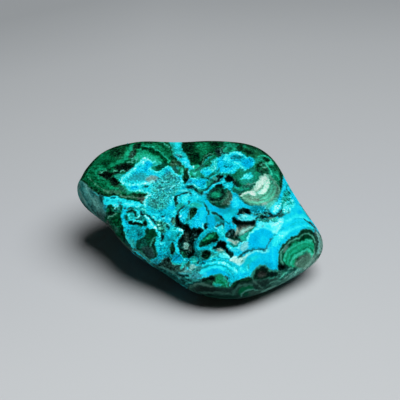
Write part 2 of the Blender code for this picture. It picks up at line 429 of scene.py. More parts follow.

# A mark is: brush, tone (0 ink to 1 white), hue (0 sky, 1 cyan, 2 teal, 3 green), share of grey,
# edge of an area or width of a line, and the x,y points. Later marks lie on earlier ones. A shade mark
# adds its tone to what is there. A bands mark adds its look in layers of the given spacing, and has an
# outline and the line that the layers run beside.
# Near-black marks inside the hollows are painted shade, on top of the hollows' own relief.

# Dark green lobe at the back left, with its rim and small cavities.
LEFT_LOBE_MARKS = (
    (area, .24, 3, 0, 1.2, LOBE_OUTLINE),
    (bands, .07, 0, 0, 3.2, ((82,176, 90,165, 104,168, 112,184, 122,184, 140,192, 148,194, 143,203, 120,199,
        100,196, 84,184), (82,180, 90,188, 100,194.5, 105,196.5, 115,195, 121,197, 130,199.5, 143,203))),
    (line, .1, 3, .1, 5, (80,180, 84,172, 90,163, 98,154.5, 107,148.5, 118,145.5, 127,144)),
    (area, .28, 3, 0, 2, (96,163, 97,158, 102,152, 108,150.5, 113,151, 114,155, 110,160, 104,163, 99,166)),
    (area, .12, 3, .1, 3, (109,150, 115,147.5, 124,146.5, 126,150, 124,155, 119,157, 113,157, 110,154)),
    (area, .12, 3, 0, 2, (101,161.5, 106,160, 110,163, 106,166, 102,165)),
    (area, .25, 2.8, .1, 2, (115,156, 119,155, 123,156, 121,159, 116,159)),
    (area, .45, 3, 0, 1.6, (109,166, 111,163, 114,162.5, 118,161, 121,159.5, 125,159, 123,162.5, 118,163.5,
        115,165.5, 112,168)),
    (area, .43, 2.8, 0, 2, (123,160, 125,153, 127,150, 129,147, 131,144, 133.5,145, 133,149, 131,151.5,
        129.5,154, 128.5,158, 126,161)),
    (area, .53, 2.6, 0, 1.5, (129,147, 131,145, 132.5,146, 131.5,149.5, 129.5,150.5)),
    (area, .51, 2.8, 0, 1.2, (125.5,153, 127,151, 129,152, 128,156, 126.5,157)),
    (line, .43, 2.9, 0, 2.4, (104,178.5, 98,177.5, 95.5,174, 96,171, 98,169, 101,168.5, 105,169)),
    (line, .33, 3, 0, 1.8, (88,178, 88,172, 91,168, 96,166, 103,166)),
    # Painted shade: the near-black fill of the small cavities, here and in the cavities below.
    (area, .06, 2.5, .3, 1.2, (98.5,175, 100,173.5, 105,173, 106,171.5, 108,171, 110,173, 113,174.5,
        111.5,177, 109,179, 105,179, 102,177)),
    # Painted highlight in a cavity.
    (line, .72, 2.2, .2, 1, (100.5,172.5, 103,172, 105,171, 106.5,170.5)),
    (line, .38, 2.2, .3, .8, (99,173.5, 100,171)),
    (area, .06, 2.5, .3, 1.2, (110,180, 112,177, 115,177.5, 117,181, 119.5,182.5, 118,185, 114,186,
        112,185.5, 111,183)),
    (area, .07, 2.5, .3, 1.4, (113,168.5, 117,166, 121,164.5, 126,163.5, 132,164.5, 134,167.5, 131.5,170,
        128,172.5, 124,171, 120,170.5, 116,170)),
    (line, .08, 2.5, .2, 1.6, (112,173, 116,172.5, 120,173)),
    # Painted highlights in a cavity, on this line and the next.
    (line, .8, 2, .2, 1.3, (120,172, 121.5,171, 124,170.5)),
    (line, .58, 2.2, .3, .9, (113,171.5, 115,171, 117,171)),
    (area, .09, 2.5, .3, 1.5, (128.5,157.5, 130,153.5, 132.5,150.5, 136,149.5, 136,153, 134.5,157,
        131,158.5)),
    (line, .48, 1.8, .3, .8, (132.5,153, 132.5,156)),
    (line, .6, 1.8, .2, 1, (130.5,158.5, 133,158, 135.5,158.5)),
    (line, .6, 1.8, .2, 1, (131.5,160.5, 133.5,160)),
    (line, .61, 1.8, .2, 1.2, (127.5,162.5, 130,161.5, 133,162.5)),
    (area, .08, 2.8, .2, 1.5, (132,148.5, 133,145.5, 136,144, 141,142.5, 141,146, 139,148.5, 135,149.5)),
    (line, .43, 2.6, .25, 1, (88.5,177.5, 92,181, 96,185, 100,187, 103,190, 106,192, 110,193)),
    (area, .3, 3, 0, 2, (98,180, 103,180.5, 108,181, 109,185, 112,188, 120,189, 124,191, 112,190.5,
        105,189.5, 101,186)),
    (line, .45, 2.9, 0, 2.2, (108,184.5, 110,187, 113.5,188, 118,188)),
    (area, .15, 3, .2, 1.4, (113,185.5, 120,184.5, 123,187, 119,187.5, 114,187)),
    (area, .36, 2.7, .3, 2, (103,189.5, 107,190, 112,190.5, 118,190.5, 121,192.5, 118,194.5, 113,194,
        108,194, 104.5,193)),
    (line, .14, 3, .1, 2.6, (84,181, 90,187, 95,190.5, 100,193, 105,195.5, 110,195, 114,194)),
    (line, .13, 3, 0, 1.6, (119,196, 122,198, 126,199, 131,200, 136,200, 140,201.5, 143,203.5)),
    (line, .41, 2.5, .4, 1.8, (121,195.5, 127,197, 133,197, 139,198)),
    (area, .09, 3, .2, 1.6, (131,193.5, 137,194, 143,194, 148,193.5, 145,196.5, 139,196.5, 133,195.5)),
    (area, .31, 2, .85, 1.6, (137,198, 141,197, 145,196.5, 144,200, 143,203, 139.5,200.5)),
    (area, .33, 2.2, .1, 2, (119,186, 123,187, 127,190, 131,192, 130,194, 124,193, 120,190)),
    (line, .53, 2.2, 0, 1.8, (120,181, 122,185, 126.5,188.5, 127,192, 130,193)),
    (line, .49, 2.3, 0, 2.2, (128,191, 133,192.5, 138,192, 143,192)),
)

# Turquoise patch inside the lobe, to the left of the druse.
LEFT_PATCH_MARKS = (
    (area, .66, .9, 0, 1.2, (114,175.5, 118,174, 123,175, 125,174, 129,171, 132,168, 136,165, 140,160,
        143,157, 145,156.5, 148,159, 151,160.5, 155,161, 159,162, 159,164, 156,166, 153,168, 155,170,
        158,172, 160,170.5, 162,168, 165,166.5, 168,166, 171,167, 173,170, 175,173, 178,174.5, 183,175.5,
        184,185, 170,200, 160,212, 146,206, 145,199, 149,194, 143,192, 139,190, 135,191, 131,190.5, 128,189,
        125,186, 122,184, 120,182, 117,178)),
    (area, .5, 2, 0, 1.6, (113.5,176, 117,174, 122,174.5, 121,178, 118.5,179, 116,178)),
    (line, .84, 1.2, 0, 2.6, (121,182, 122,178, 126,176, 129,173, 133,170, 136,166.5, 139,163.5)),
    (line, .78, 1.4, 0, 2.4, (140,162, 142,159, 144,158, 146.5,158.5, 149,161)),
    (area, .84, 1.2, .1, 1.6, (141,162, 144,160, 145.5,161, 145,163.5, 142,164)),
    (line, .8, 1.3, 0, 2.4, (149,160.5, 153,162, 158,162, 160.5,163)),
    (area, .66, 1.8, 0, 1.5, (152,163, 160,161, 162,163, 158,164.5, 154,166)),
    (area, .6, .1, 0, 2, (145,162, 149,161, 152,163, 153,166, 150,168, 148,171, 144,170, 145,166)),
    (area, .66, .4, 0, 2, (137,168, 142,166, 146,170, 151,172, 157,175, 158,177, 150,175, 144,173, 138,174,
        131,176)),
    (line, .82, 1.1, 0, 1.8, (149,168.5, 153,169.5, 157,172, 160,171.5, 163,168.5, 167,167)),
    (area, .46, 2.4, 0, 1.4, (150,168, 152.5,166, 156,166, 156.5,169, 155,170.5)),
    (area, .5, .9, .05, 3, (127,180, 131,176, 137,174, 142,173, 147,175, 143,181, 136,181)),
    (line, .85, 1.1, 0, 2.6, (122,181, 125,184, 130,185, 137,184.5, 143,183, 150,183.5, 155,184)),
    (area, .6, 0, 0, 1.6, (130,187.5, 132,185.5, 136,185.5, 139,187, 138,189.5, 132,190)),
    (line, .78, 1.3, 0, 2, (127,188, 131,191, 136,191, 140,189.5, 145,191.5, 149,194.5)),
    (line, .2, 1.2, .1, 1.5, (145,186.5, 147.5,186)),
    (area, .52, 1.3, .6, 2.4, (145,179, 149,176, 155,176, 158,178, 157,181, 152,182.5, 147,181.5)),
    (area, .74, 1.1, .3, 1.6, (148,182, 151,180, 155,180.5, 153,183)),
)

# Druse: the crust of fine crystals.
DRUSE_MARKS = (
    (area, .56, 1.25, .05, 3, (152,185, 158,178, 165,175, 169,172, 172,174, 178,177, 182,178, 182,183,
        178,190, 174,195, 170,200, 169,206, 164,210, 158,210, 150,207, 147,203, 149,197, 153,193)),
    (area, .44, 1.3, .1, 2.5, (152,199, 157,199, 158,205, 154,207, 150,204)),
    (area, .45, 1.3, .1, 2, (158,186, 163,186, 163,191, 158,190)),
    (area, .62, .5, 0, 2, (164,170, 168,167.5, 171,169, 169,173, 166,174)),
    (area, .46, 1.2, .1, 2, (164,174, 170,171, 173,175, 176,178, 172,180, 166,178)),
    (line, .78, 1.3, .15, 1.2, (163,189, 166,187, 170,186, 172,186)),
    (line, .76, 1.2, .1, 1.2, (158,180, 162,180.5, 165,182.5)),
    (line, .86, 1.1, .1, 2, (150,194.5, 147,196.5, 145,199.5, 144.5,203, 145.5,206)),
    (line, .74, 1, 0, 2, (151,184.5, 150,190, 154,193, 152,197)),
    (line, .78, 1, 0, 1.6, (172,168, 174,172, 178,175, 182,177.5, 182.5,182)),
    (area, .66, .3, 0, 1.6, (178,176.5, 181,176, 182.5,180, 180,181)),
)

# Green layers between the turquoise patch and the back edge.
GREEN_BEHIND_PATCH_MARKS = (
    (area, .46, 2.7, 0, 2, (134,158, 137,153, 139,149, 143,147.5, 149,149, 151,152, 155,155, 159,157,
        163,161, 160.5,162.5, 155,161, 151,160, 147,157, 143,156.5, 139,161, 136,162)),
    (area, .36, 3, 0, 2, (142,152, 148,150, 152,153, 155,156, 150,155.5, 146,153.5)),
    (area, .56, 2.2, 0, 1.8, (140,156, 146,154, 152,156, 156,158, 160,160.5, 154,160.5, 148,157.5,
        143,156.5)),
    (line, .62, 1.9, .1, 1.2, (136,162, 136,160, 138,158)),
    (area, .36, 3, 0, 1.5, (141,145, 146,143, 153,143, 158,144, 163,147, 168,152, 170,158, 167,157, 164,154,
        161,151, 157,149, 153,146, 147,146)),
    (area, .25, 2.9, 0, 2, (161,143.5, 167,147, 171,151, 174,158, 176,163, 171,165, 169,160, 166,152)),
    (line, .12, 3, .1, 1.8, (145,142.5, 150,142.5, 157,143)),
    (line, .12, 3, 0, 3.2, (143,148, 147,148.5, 150.5,150, 154,152.5, 157,153.5)),
    (line, .12, 3, 0, 3, (157,152, 160,155, 162.5,158, 165.5,160, 167.5,163)),
    (line, .6, 2.4, 0, 1.3, (142,145.5, 147,146.5, 152,146.5, 154.5,148, 156,150, 159,150.5, 161,152.5,
        163.5,154, 164,156.5, 167,158, 169,160, 168.5,162.5)),
    (line, .61, 2.1, .1, 1.4, (161,141.5, 164.5,144, 167.5,145.5, 170,148)),
    (area, .2, 2.4, 0, 1.4, (157,170.5, 157,166, 160,164.5, 164,163, 168,163.5, 166,165, 162.5,167,
        160.5,170)),
    (area, .2, 2.9, .3, 1.6, (170,164, 172,160, 176,159.5, 179,163, 176,166, 172,167)),
    (line, .4, 2.5, .4, .9, (171,164.5, 175,164, 177,164.5)),
    (area, .11, 2.5, .3, 1.4, (176.5,160, 179,160.5, 181.5,163, 183,166.5, 180.5,167, 178,164.5)),
    (area, .19, 1.8, .1, 1.5, (172,167, 176,165.5, 180,167, 178,170, 178,173.5, 175.5,173, 173.5,170)),
    (area, .48, 1.6, 0, 1.5, (176,167, 179,166.5, 179.5,169, 177.5,170)),
    (line, .15, 2.9, .1, 1.8, (170,146, 172,150.5, 173.5,155.5, 176,159)),
)

# Blue vein that parts the lobe from the crown.
VEIN_MARKS = (
    (area, .59, 1.2, 0, 1.2, (168,140, 171,147, 172.5,151, 173,155.5, 175.5,158, 178.5,160, 181.5,162,
        183,165, 186,168.5, 187,170, 190,170.5, 193,169.5, 194,167.5, 193,166, 190.5,164.5, 190,161,
        189,158, 187,155.5, 184,152, 182,148, 181.5,140)),
    (area, .72, .9, 0, 1.5, (174,143, 180,142, 180.5,148, 177,147)),
    (area, .74, .9, 0, 1.5, (175,146, 178,146, 178,149, 175.5,148)),
    (line, .53, 1.8, 0, 2, (171.5,145, 173,149.5, 174,154)),
    (line, .25, .8, .1, 1.7, (177.5,156.5, 181.5,156.5)),
    (line, .66, 1.2, .3, 1, (177,155, 181,155)),
    (area, .68, .3, 0, 1.6, (179.5,158.5, 183,157.5, 187,157.5, 189,161, 190.5,165.5, 192.5,168, 190,169,
        187,166.5, 183.5,163)),
    (line, .8, 1, 0, 1.4, (179,158.5, 182,158.5, 186,158)),
    (line, .84, 1, 0, 1.6, (193,166, 193.5,167.5, 192.5,169.5)),
    (line, .43, 1.7, 0, 1.2, (188,157, 189.5,161, 190,164)),
)

# Dark green crown at the back.
CROWN_MARKS = (
    (area, .2, 3, 0, 1.2, CROWN_OUTLINE),
    (area, .08, 3, .1, 1.6, (181.5,146, 184,140, 194,139, 194,148, 193,152, 195.5,156, 196,160, 193,164,
        190,162, 188.5,156, 184,151)),
    (area, .11, 3, 0, 2.5, (191,153, 198,152, 200,157, 200,163, 193,164)),
    (line, .19, 2.9, .1, 1, (188,153, 194,152.5, 199,151.5)),
    (area, .32, 3, 0, 3, (196,145, 200,142, 206,142, 209,145, 212,148, 211,152, 206,154, 203,159, 200,158,
        199,152, 197,149)),
    (area, .43, 2.9, 0, 1.6, (197,145.5, 199.5,144, 202,145, 201,148, 198,148)),
    (area, .41, 3, 0, 1.6, (204,145, 206,142, 208,143, 207,147, 204.5,147)),
    (area, .38, 3, 0, 2, (200,148, 206,147, 209,150, 206,152, 201,151)),
    (line, .33, 2.9, 0, 2.4, (201.5,151, 202,155, 201,159)),
    (area, .2, 3, 0, 2.5, (209,147, 214,148, 217,151, 214,155, 210,154)),
    (area, .07, 3, .1, 2, (209,142, 214,141, 220,143, 219,146, 215,147, 211,145)),
    (line, .11, 3, .1, 2, (183,142, 190,141, 200,141, 212,141, 225,141.5, 232,142.5)),
    (area, .13, 1.8, .2, 2, (215,150, 218,148, 222,148, 223,152, 221,156, 216,155)),
    (line, .53, 1.8, .2, 1.1, (219.5,149, 220.5,151, 221,153)),
    (line, .41, 2, .3, 1, (223.5,144.5, 223.5,146.5, 222,148.5)),
    (area, .33, 2.6, 0, 1.5, (203,165.5, 206,161, 210,157.5, 214,155.5, 220,155.5, 214,159, 211,162,
        212,166, 206,168, 201,168)),
    (line, .09, 2.8, .1, 2.4, (200,165, 201.5,161.5, 203.5,158.5, 206,155.5, 210,153)),
    (line, .51, 2.3, .2, 1.1, (202.5,164, 203,160.5, 205,157.5, 206.5,155, 209.5,153.5, 213.5,154)),
    (line, .51, 2.1, 0, 1.4, (203.5,164, 207,160.5, 210,157.5, 213,156)),
    (line, .15, 2.4, .1, 1, (202,167, 206,165.5, 209,165.5)),
)

# Bright blue patch in front of the crown.
BRIGHT_PATCH_MARKS = (
    (area, .66, .6, 0, 1.2, (212,160, 216,158.5, 221,158, 225,156.5, 228,154.5, 231,152.5, 235,151.5,
        239,152.5, 243,154.5, 247,157, 251,158, 255,159.5, 256,162, 254,165, 250,168, 246,170, 243,171,
        240,167.5, 237,170.5, 233,173, 228,173, 222,173, 218,170.5, 214,171, 211,174, 207,175.5, 203,174.5,
        199,171, 202,169.5, 206,168, 210,166.5, 212,163)),
    (area, .66, 1.5, 0, 2, (210,161, 217,158, 219,160, 217.5,164, 217,168, 214,171, 211,171, 208,168.5,
        212,166, 212,163)),
    (area, .84, 1.2, 0, 1.2, (213.5,161.5, 216,160.5, 216.5,163, 214.5,164)),
    (line, .8, 1.3, 0, 1.4, (213.5,165, 215.5,167, 214.5,169.5, 212.5,171)),
    (area, .66, .4, 0, 1.6, (204,172, 207,170, 210,170, 210,173, 206.5,174.5)),
    (area, .5, .6, .25, 1.5, (198.5,169.5, 202,168.5, 203,170.5, 200,171.5)),
    (line, .74, 1.2, 0, 1.3, (202,170, 206,168.5, 210,167.5, 212,166)),
    (area, .62, .15, 0, 2, (217,160, 222,158, 224,161, 222,166, 223,170, 219,169, 217.5,165)),
    (area, .72, .8, 0, 2, (222,157.5, 229,157, 232,161, 230,164, 226,162, 223,160)),
    (area, .5, .5, 0, 1.5, (224,162.5, 227,161, 227,164, 225,165)),
    (line, .4, .6, 0, 1.5, (224.5,166.5, 228,167, 232,166)),
    (area, .66, .2, 0, 2, (222,169, 228,168, 233,168, 232,171.5, 225,172, 221,171)),
    (area, .43, .75, 0, 1.6, (231,156.5, 234,154.5, 238,154.5, 243,156, 245.5,158.5, 240,159.5, 234,159.5,
        230,159)),
    (line, .3, .6, .1, 1.4, (231,157.5, 232,158)),
    (line, .54, .4, 0, 1, (233,160, 238,160.5, 242,161)),
    (line, .8, 1, 0, 1.8, (226.5,156, 230,153, 234,152, 238,153, 241,154.5, 244,156.5, 247,158)),
    (area, .8, 1, 0, 1.4, (232,163, 235,161, 238.5,161.5, 239,163.5, 236,164.5)),
    (line, .8, 1.1, 0, 1.5, (233,162, 236,161.5, 239,164, 241,166.5, 243,168, 245.5,170)),
    (area, .57, 0, 0, 2, (241,163, 244,160, 248,158.5, 253,159.5, 255.5,162, 252,166, 248,168, 244,166.5)),
    (line, .7, .8, 0, 1.2, (253,160, 254.5,162.5, 253.5,164.5)),
    (area, .42, 2.1, 0, 1.6, (238,168.5, 240,167, 242.5,169, 246,171, 244,175, 239,176.5, 233,175.5,
        236.5,171.5)),
    (area, .54, 2.3, 0, 1.4, (241,172.5, 243,172, 244,173.5, 241.5,174)),
    (line, .76, 1.1, 0, 1.2, (220,172.5, 225,173, 230,172, 234,171, 236,168, 237,165)),
)

# Teal and green step in front of the bright patch.
TEAL_STEP_MARKS = (
    (area, .41, 2, 0, 1.5, (205,176.5, 209,175.5, 212,173, 215,171.5, 220,173.5, 233,173.5, 239,175.5,
        241,180, 236,178, 232,176, 226,175.5, 222,177, 216,177, 210,177.5)),
    (line, .5, 1.6, 0, 2, (216,174, 217.5,171.5, 219,169.5)),
    (area, .4, 2.3, 0, 1.3, STEP_OUTLINE),
    (area, .66, 1.6, 0, 1.6, (192,173.5, 194,172, 197,172.5, 196.5,175, 193.5,175.5)),
    (area, .64, 1.6, 0, 1.6, (196.5,176.5, 198,175, 200,176, 200,178.5, 197,178.5)),
    (area, .35, 3, 0, 1.3, (189,173, 191,172, 192,174.5, 191,177, 189.5,176)),
    (area, .23, 2.6, 0, 1.3, (190.5,176, 193,176, 194,177.5, 191,177.5)),
    (area, .45, 2.7, 0, 1.6, (194,167.5, 196,165, 200,165, 199,167.5, 196,168)),
    (line, .29, 2, .1, 1.8, (195,170.5, 198,169, 200,167, 203,165.5)),
    (line, .27, 2.2, 0, 1.6, (203,177.5, 207,178, 210,178)),
    (line, .72, 1.2, 0, 1.5, (210,177.5, 213,177, 215,175.5, 217,174.5)),
    (line, .59, 2.2, .2, 1.1, (213,178.5, 217.5,178.5)),
    (area, .12, 1.8, .2, 1.4, (215.5,176.5, 219,175, 224,175.5, 222.5,178, 221,180, 220,182.5, 216.5,184,
        213,185, 212,182, 214,180.5, 218.5,179.5)),
    (area, .31, 2.4, 0, 1.5, (208,180, 212,179, 214,180.5, 212,184, 210,185.5, 209,183)),
)

# Slots dark with painted shade, and blue bridges between the step and the small eye.
BACK_SLOTS_MARKS = (
    (area, .62, 1.8, 0, 1.5, (180,169, 183,167.5, 184,170, 183,174, 181,175)),
    (area, .07, 2.9, .1, 1.3, (184,184, 183,178, 183.5,173, 184.5,169.5, 187,168, 188.5,170, 188,174,
        189.5,177, 188,180, 186,184)),
    (line, .15, 2.9, .3, 1.4, (186.5,168.5, 187,172, 186.5,178)),
    (line, .7, 1.2, .1, 1.2, (189,171, 188.5,174, 190,177)),
    (area, .62, .5, 0, 1.2, (185.5,184, 187,181, 190,178.5, 196,178, 200,179, 207,179, 212,181, 210,184,
        206,188.5, 202,190, 199,189, 197,187, 194,185, 190,184, 187,185.5)),
    (area, .5, .4, .05, 1.6, (186,183.5, 188.5,180, 192,180, 192,182.5, 189,183.5)),
    (line, .8, 1, 0, 1.3, (190.5,178.5, 193,178.5, 197,178.5)),
    (area, .64, 0, 0, 2, (195.5,181, 200,180, 201.5,184, 200,187.5, 197,185)),
    (area, .46, .2, 0, 1.6, (202,181, 205.5,180.5, 206,183.5, 203.5,185)),
    (area, .44, 2, 0, 1.6, (206.5,180.5, 212,181, 211,183, 207.5,187, 206,184.5)),
    (line, .76, 1.2, 0, 1.1, (201.5,190, 204,187.5, 206.5,185)),
    (line, .84, 1.4, 0, 1.5, (189,185, 192,184.5, 195,185, 197,187, 199,188.5, 201,189)),
    (area, .11, 1.3, .1, 1.2, (184.5,187.5, 187,186, 190,185, 193.5,185.5, 193,187.5, 190,189, 186,189)),
    (area, .25, 2.1, 0, 1.3, (193,186, 196,188, 199,190, 203,190, 206,188, 209,185.5, 212,183, 213.5,185,
        209.5,188, 206,191, 203,194, 199,194.5, 196,192.5, 194,189.5)),
    (area, .42, 2.2, 0, 1.4, (197,189.5, 200,190, 203.5,190, 201,192.5, 198.5,192)),
    (line, .13, 1.8, .1, 1.6, (195,190.5, 197,192.5, 199.5,194, 202,194, 205,192, 208,189, 211.5,186)),
    (line, .7, .5, 0, 2.6, (202,197, 204,194.5, 207,191.5, 211,188, 214,185, 217,183.5, 221,183)),
    (area, .68, .7, 0, 1.3, (221,180, 222,178, 224,178, 225,181.5, 223.5,184.5, 220.5,184)),
    (area, .66, .8, 0, 1.4, (223,184.5, 226,183, 230,182.5, 233,183.5, 232.5,188, 230,190, 226,189.5,
        223.5,187.5)),
    (area, .78, .9, 0, 1.5, (225.5,185.5, 228,184.5, 229,187, 227,189)),
    (line, .4, 1.6, 0, 1.2, (222.5,187, 225,190, 230,191, 233.5,188.5, 234,184)),
    (area, .06, 2, .1, 1.2, (214.5,186.5, 217,184.5, 221,184, 223,186, 223,189, 219,189, 215.5,188.5)),
    (area, .04, 2.2, .1, 1.2, (224.5,178.5, 226.5,176, 229,175, 232,176.5, 233.5,179, 231.5,182, 228,182.5,
        225.5,181)),
    (area, .08, 2, .1, 1.3, (232.5,178, 235,178.5, 238,181.5, 241,184.5, 243.5,187, 239,187.5, 236,187,
        234,184, 233,181.5)),
    (line, .55, 2, .5, 1.3, (235,179.5, 235.5,182)),
    (area, .05, 1.5, .1, 1.2, (236.5,185.5, 239,184.5, 241.5,185.5, 240,187.5, 237.5,187.5)),
)

# Small malachite eye.
SMALL_EYE_MARKS = (
    (area, .25, 2.4, 0, 1.3, SMALL_EYE_OUTLINE),
    (area, .31, 2.4, .45, 2, (226,191, 229.5,191.5, 232,195, 232,199, 229,203, 225.5,206, 221,204, 225,200,
        227.5,196)),
    (line, .46, 2.2, .35, 1.1, (221,205, 223,201.5, 226,199, 228,195.5)),
    (line, .6, 1.8, .6, 1.6, (228.5,204, 231,202, 232.5,198.5)),
    (line, .4, 2.3, .3, 1, (211,201.5, 216,202, 221,200.5, 224.5,197.5, 226,193.5)),
    (line, .1, 2.3, .1, 2.4, (211.5,199.5, 216,199.5, 220.5,199, 223.5,196.5, 224.5,193.5, 222.5,191.5)),
    (line, .14, 2, .1, 1.6, (209,194, 211,191, 214,190, 218,189.5)),
    (line, .12, 2.4, .1, 2, (213,203.5, 217,206.5, 221,208.5, 226,209, 229.5,206.5)),
    (area, .4, 2.7, 0, 2, (211.5,194, 213.5,191.5, 217,191, 220.5,192.5, 221.5,195.5, 218.5,198.5,
        214.5,198, 212,197)),
    (area, .46, 2.8, 0, 1.6, (215,194, 217,192, 219,193.5, 218.5,196.5, 216,196.5)),
    (line, .18, .8, .1, 1.8, (206.5,194, 208,197)),
    (line, .1, 1.2, .1, 1.2, (211,198, 212.5,199.5)),
)

# Sky blue round the small eye.
SMALL_EYE_SURROUND_MARKS = (
    (area, .6, .2, 0, 1.3, (233,195, 235.5,193, 238,196.5, 242,201, 245,205, 250,207, 255,208, 253,212,
        247,209.5, 240,209, 237.5,214, 225,216, 214,213.5, 207,211, 205.5,205, 204,199, 206,198, 208.5,201,
        211,204.5, 216,207, 220,210.5, 226,211, 229.5,209, 231,204)),
    (area, .74, .8, .05, 1.8, (233,198, 235,195.5, 238,198, 237,202, 233,201)),
    (area, .56, 0, 0, 2, (209,205, 214,206.5, 219,211, 213,212.5, 208.5,209)),
)

# Green shoulder at the back right, round the chip.
SHOULDER_MARKS = (
    (area, .34, 2.6, 0, 1.2, SHOULDER_OUTLINE),
    (area, .47, 2.5, 0, 1.5, (224,152.5, 224,149, 226,146.5, 229,144, 233,144, 236.5,145.5, 237.5,149,
        234.5,151, 228,152.5)),
    (area, .35, 2.6, 0, 1.6, (226,151, 228,148, 231,147, 232,150, 229,152)),
    (line, .59, 2.3, 0, 1.3, (224,151.5, 225,148, 227.5,145.5, 231,144)),
    (line, .19, 2, .1, 1.4, (222.5,152.5, 225,153.5, 228,153)),
    (line, .6, 1.6, 0, 1, (221,155, 224,155, 228,154)),
    (line, .15, 2.8, .1, 3, (232,141.5, 240,143, 248,145, 255,148, 262,151.5, 268,156, 273,161.5, 277,168,
        281,174)),
    (area, .28, 2.8, .05, 2, (244,147, 250,147, 258,150, 264,154, 260,157, 254,158, 248,156, 243,152)),
    # Painted shade: the near-black fill of the shoulder's small cavities, here and in the cavities below.
    (area, .12, 2.8, .1, 1.6, (237,147, 240,144.5, 243,147, 243,150, 240,151.5, 237,150)),
    (area, .49, 2.7, 0, 1.2, (243.5,146, 245,144.5, 246.5,147, 245,149)),
    (area, .12, 2.7, .1, 1.5, (243,151, 247,149.5, 252,152, 253,154.5, 249,154.5, 245,153)),
    (area, .32, 3, .1, 1.8, (254.5,152, 257,150.5, 258.5,153.5, 256,156.5)),
    (line, .63, 2.4, 0, 1.4, (258,156.5, 262,155.5, 265,156, 268,157.5, 271,160.5, 273,164)),
    (area, .63, 2.5, 0, 1.5, (267,163, 270,161, 273,161, 274,164.5, 271,165)),
    (area, .47, 2.2, 0, 1.8, (253.5,161, 257,157.5, 262,157.5, 262.5,160.5, 258.5,162, 256,164)),
    (area, .1, 2.8, .1, 1.5, (262.5,159, 264.5,157.5, 267.5,158, 270.5,160.5, 268.5,162, 264.5,161)),
    (area, .38, 2.2, 0, 2, (247,170, 253,167, 255.5,168, 260,172, 260.5,175, 258,179, 255,183, 249,185,
        241,183, 238,178, 243,174)),
    (area, .13, 2.9, .1, 1.8, (255.5,167, 257.5,163.5, 261,162, 265.5,162.5, 264,166, 259.5,168, 256,169)),
    (area, .21, 2.8, .1, 2, (260,170, 263,167.5, 268,168.5, 269.5,171.5, 267,174, 261,174)),
    (line, .33, 2.6, .2, .9, (259.5,172.5, 261,169.5, 264.5,168, 268,169.5)),
    # Painted highlights in a cavity, on these three lines.
    (line, .8, 2.2, .3, 1.3, (260,164.5, 262,164.5)),
    (line, .57, 2.2, .2, 1, (262.5,163.5, 265,163, 267.5,163)),
    (line, .6, 2.2, .4, 1.2, (263,168, 266.5,167)),
    (area, .17, 2.8, 0, 1.5, (268,166, 272,165.5, 277,167.5, 276,170, 271,168.5)),
    (area, .35, 2.7, 0, 1.6, (272.5,171, 277,170, 279.5,174, 279.5,180, 277,182, 273.5,178)),
    (line, .51, 2.6, 0, 1.3, (275.5,173.5, 278,176, 279,179.5)),
    (line, .66, 2.3, 0, 1.8, (266.5,164, 268,167, 270,170, 272,173, 271,175.5, 269.5,175)),
    (line, .55, 2.5, .1, 1.2, (272.5,178.5, 275,181.5, 277.5,185)),
    (area, .38, 2.5, .3, 1.6, (270,177.5, 272.5,178.5, 276,183, 278,188, 275.5,188, 272,182.5)),
    (line, .12, 2.8, .1, 3.2, (279.5,171, 282,177, 281.5,183, 280.5,188.5)),
    (line, .33, 2.3, .3, 1.6, (279,190, 279,195, 276.5,199.5, 272,203.5, 268,206)),
    (line, .45, 2.8, 0, 1.6, (256.5,171.5, 257.5,175, 256,178.5)),
    (line, .21, 2.5, .1, 2.2, (257,170, 260,172, 261.5,174)),
    (area, .66, 1.1, 0, 1.3, (240.5,179, 243,176.5, 246,174, 249,172.5, 252,173, 253.5,176, 251,178.5,
        246,179.5)),
    (line, .78, 1.1, 0, 1.2, (241,178.5, 246,178.5, 248.5,178)),
    (line, .8, 1.1, 0, 1.4, (244.5,176, 247.5,174)),
    (area, .42, 1.9, 0, 1.6, (240,180.5, 247,180.5, 253,178.5, 252,182, 246,183.5, 241,182.5)),
    (area, .25, 2, .1, 1.6, (242,184.5, 249,185, 256,182, 254,186, 250,188, 243,187.5)),
    (line, .47, 1.9, .4, 1.1, (246.5,185, 250.5,184, 254.5,182.5)),
    (area, .31, 2.1, 0, 1.4, (233,186, 236,188.5, 240,190, 246,190, 243,193, 239,195, 236,193, 232.5,191)),
    (line, .51, 2.3, 0, 1.4, (234.5,187.5, 238,189.5, 242,189, 246,188.5, 249,188.5)),
    (area, .19, 1.6, .7, 1.2, (238.5,195.5, 241,193, 243.5,193, 240.5,196.5)),
)
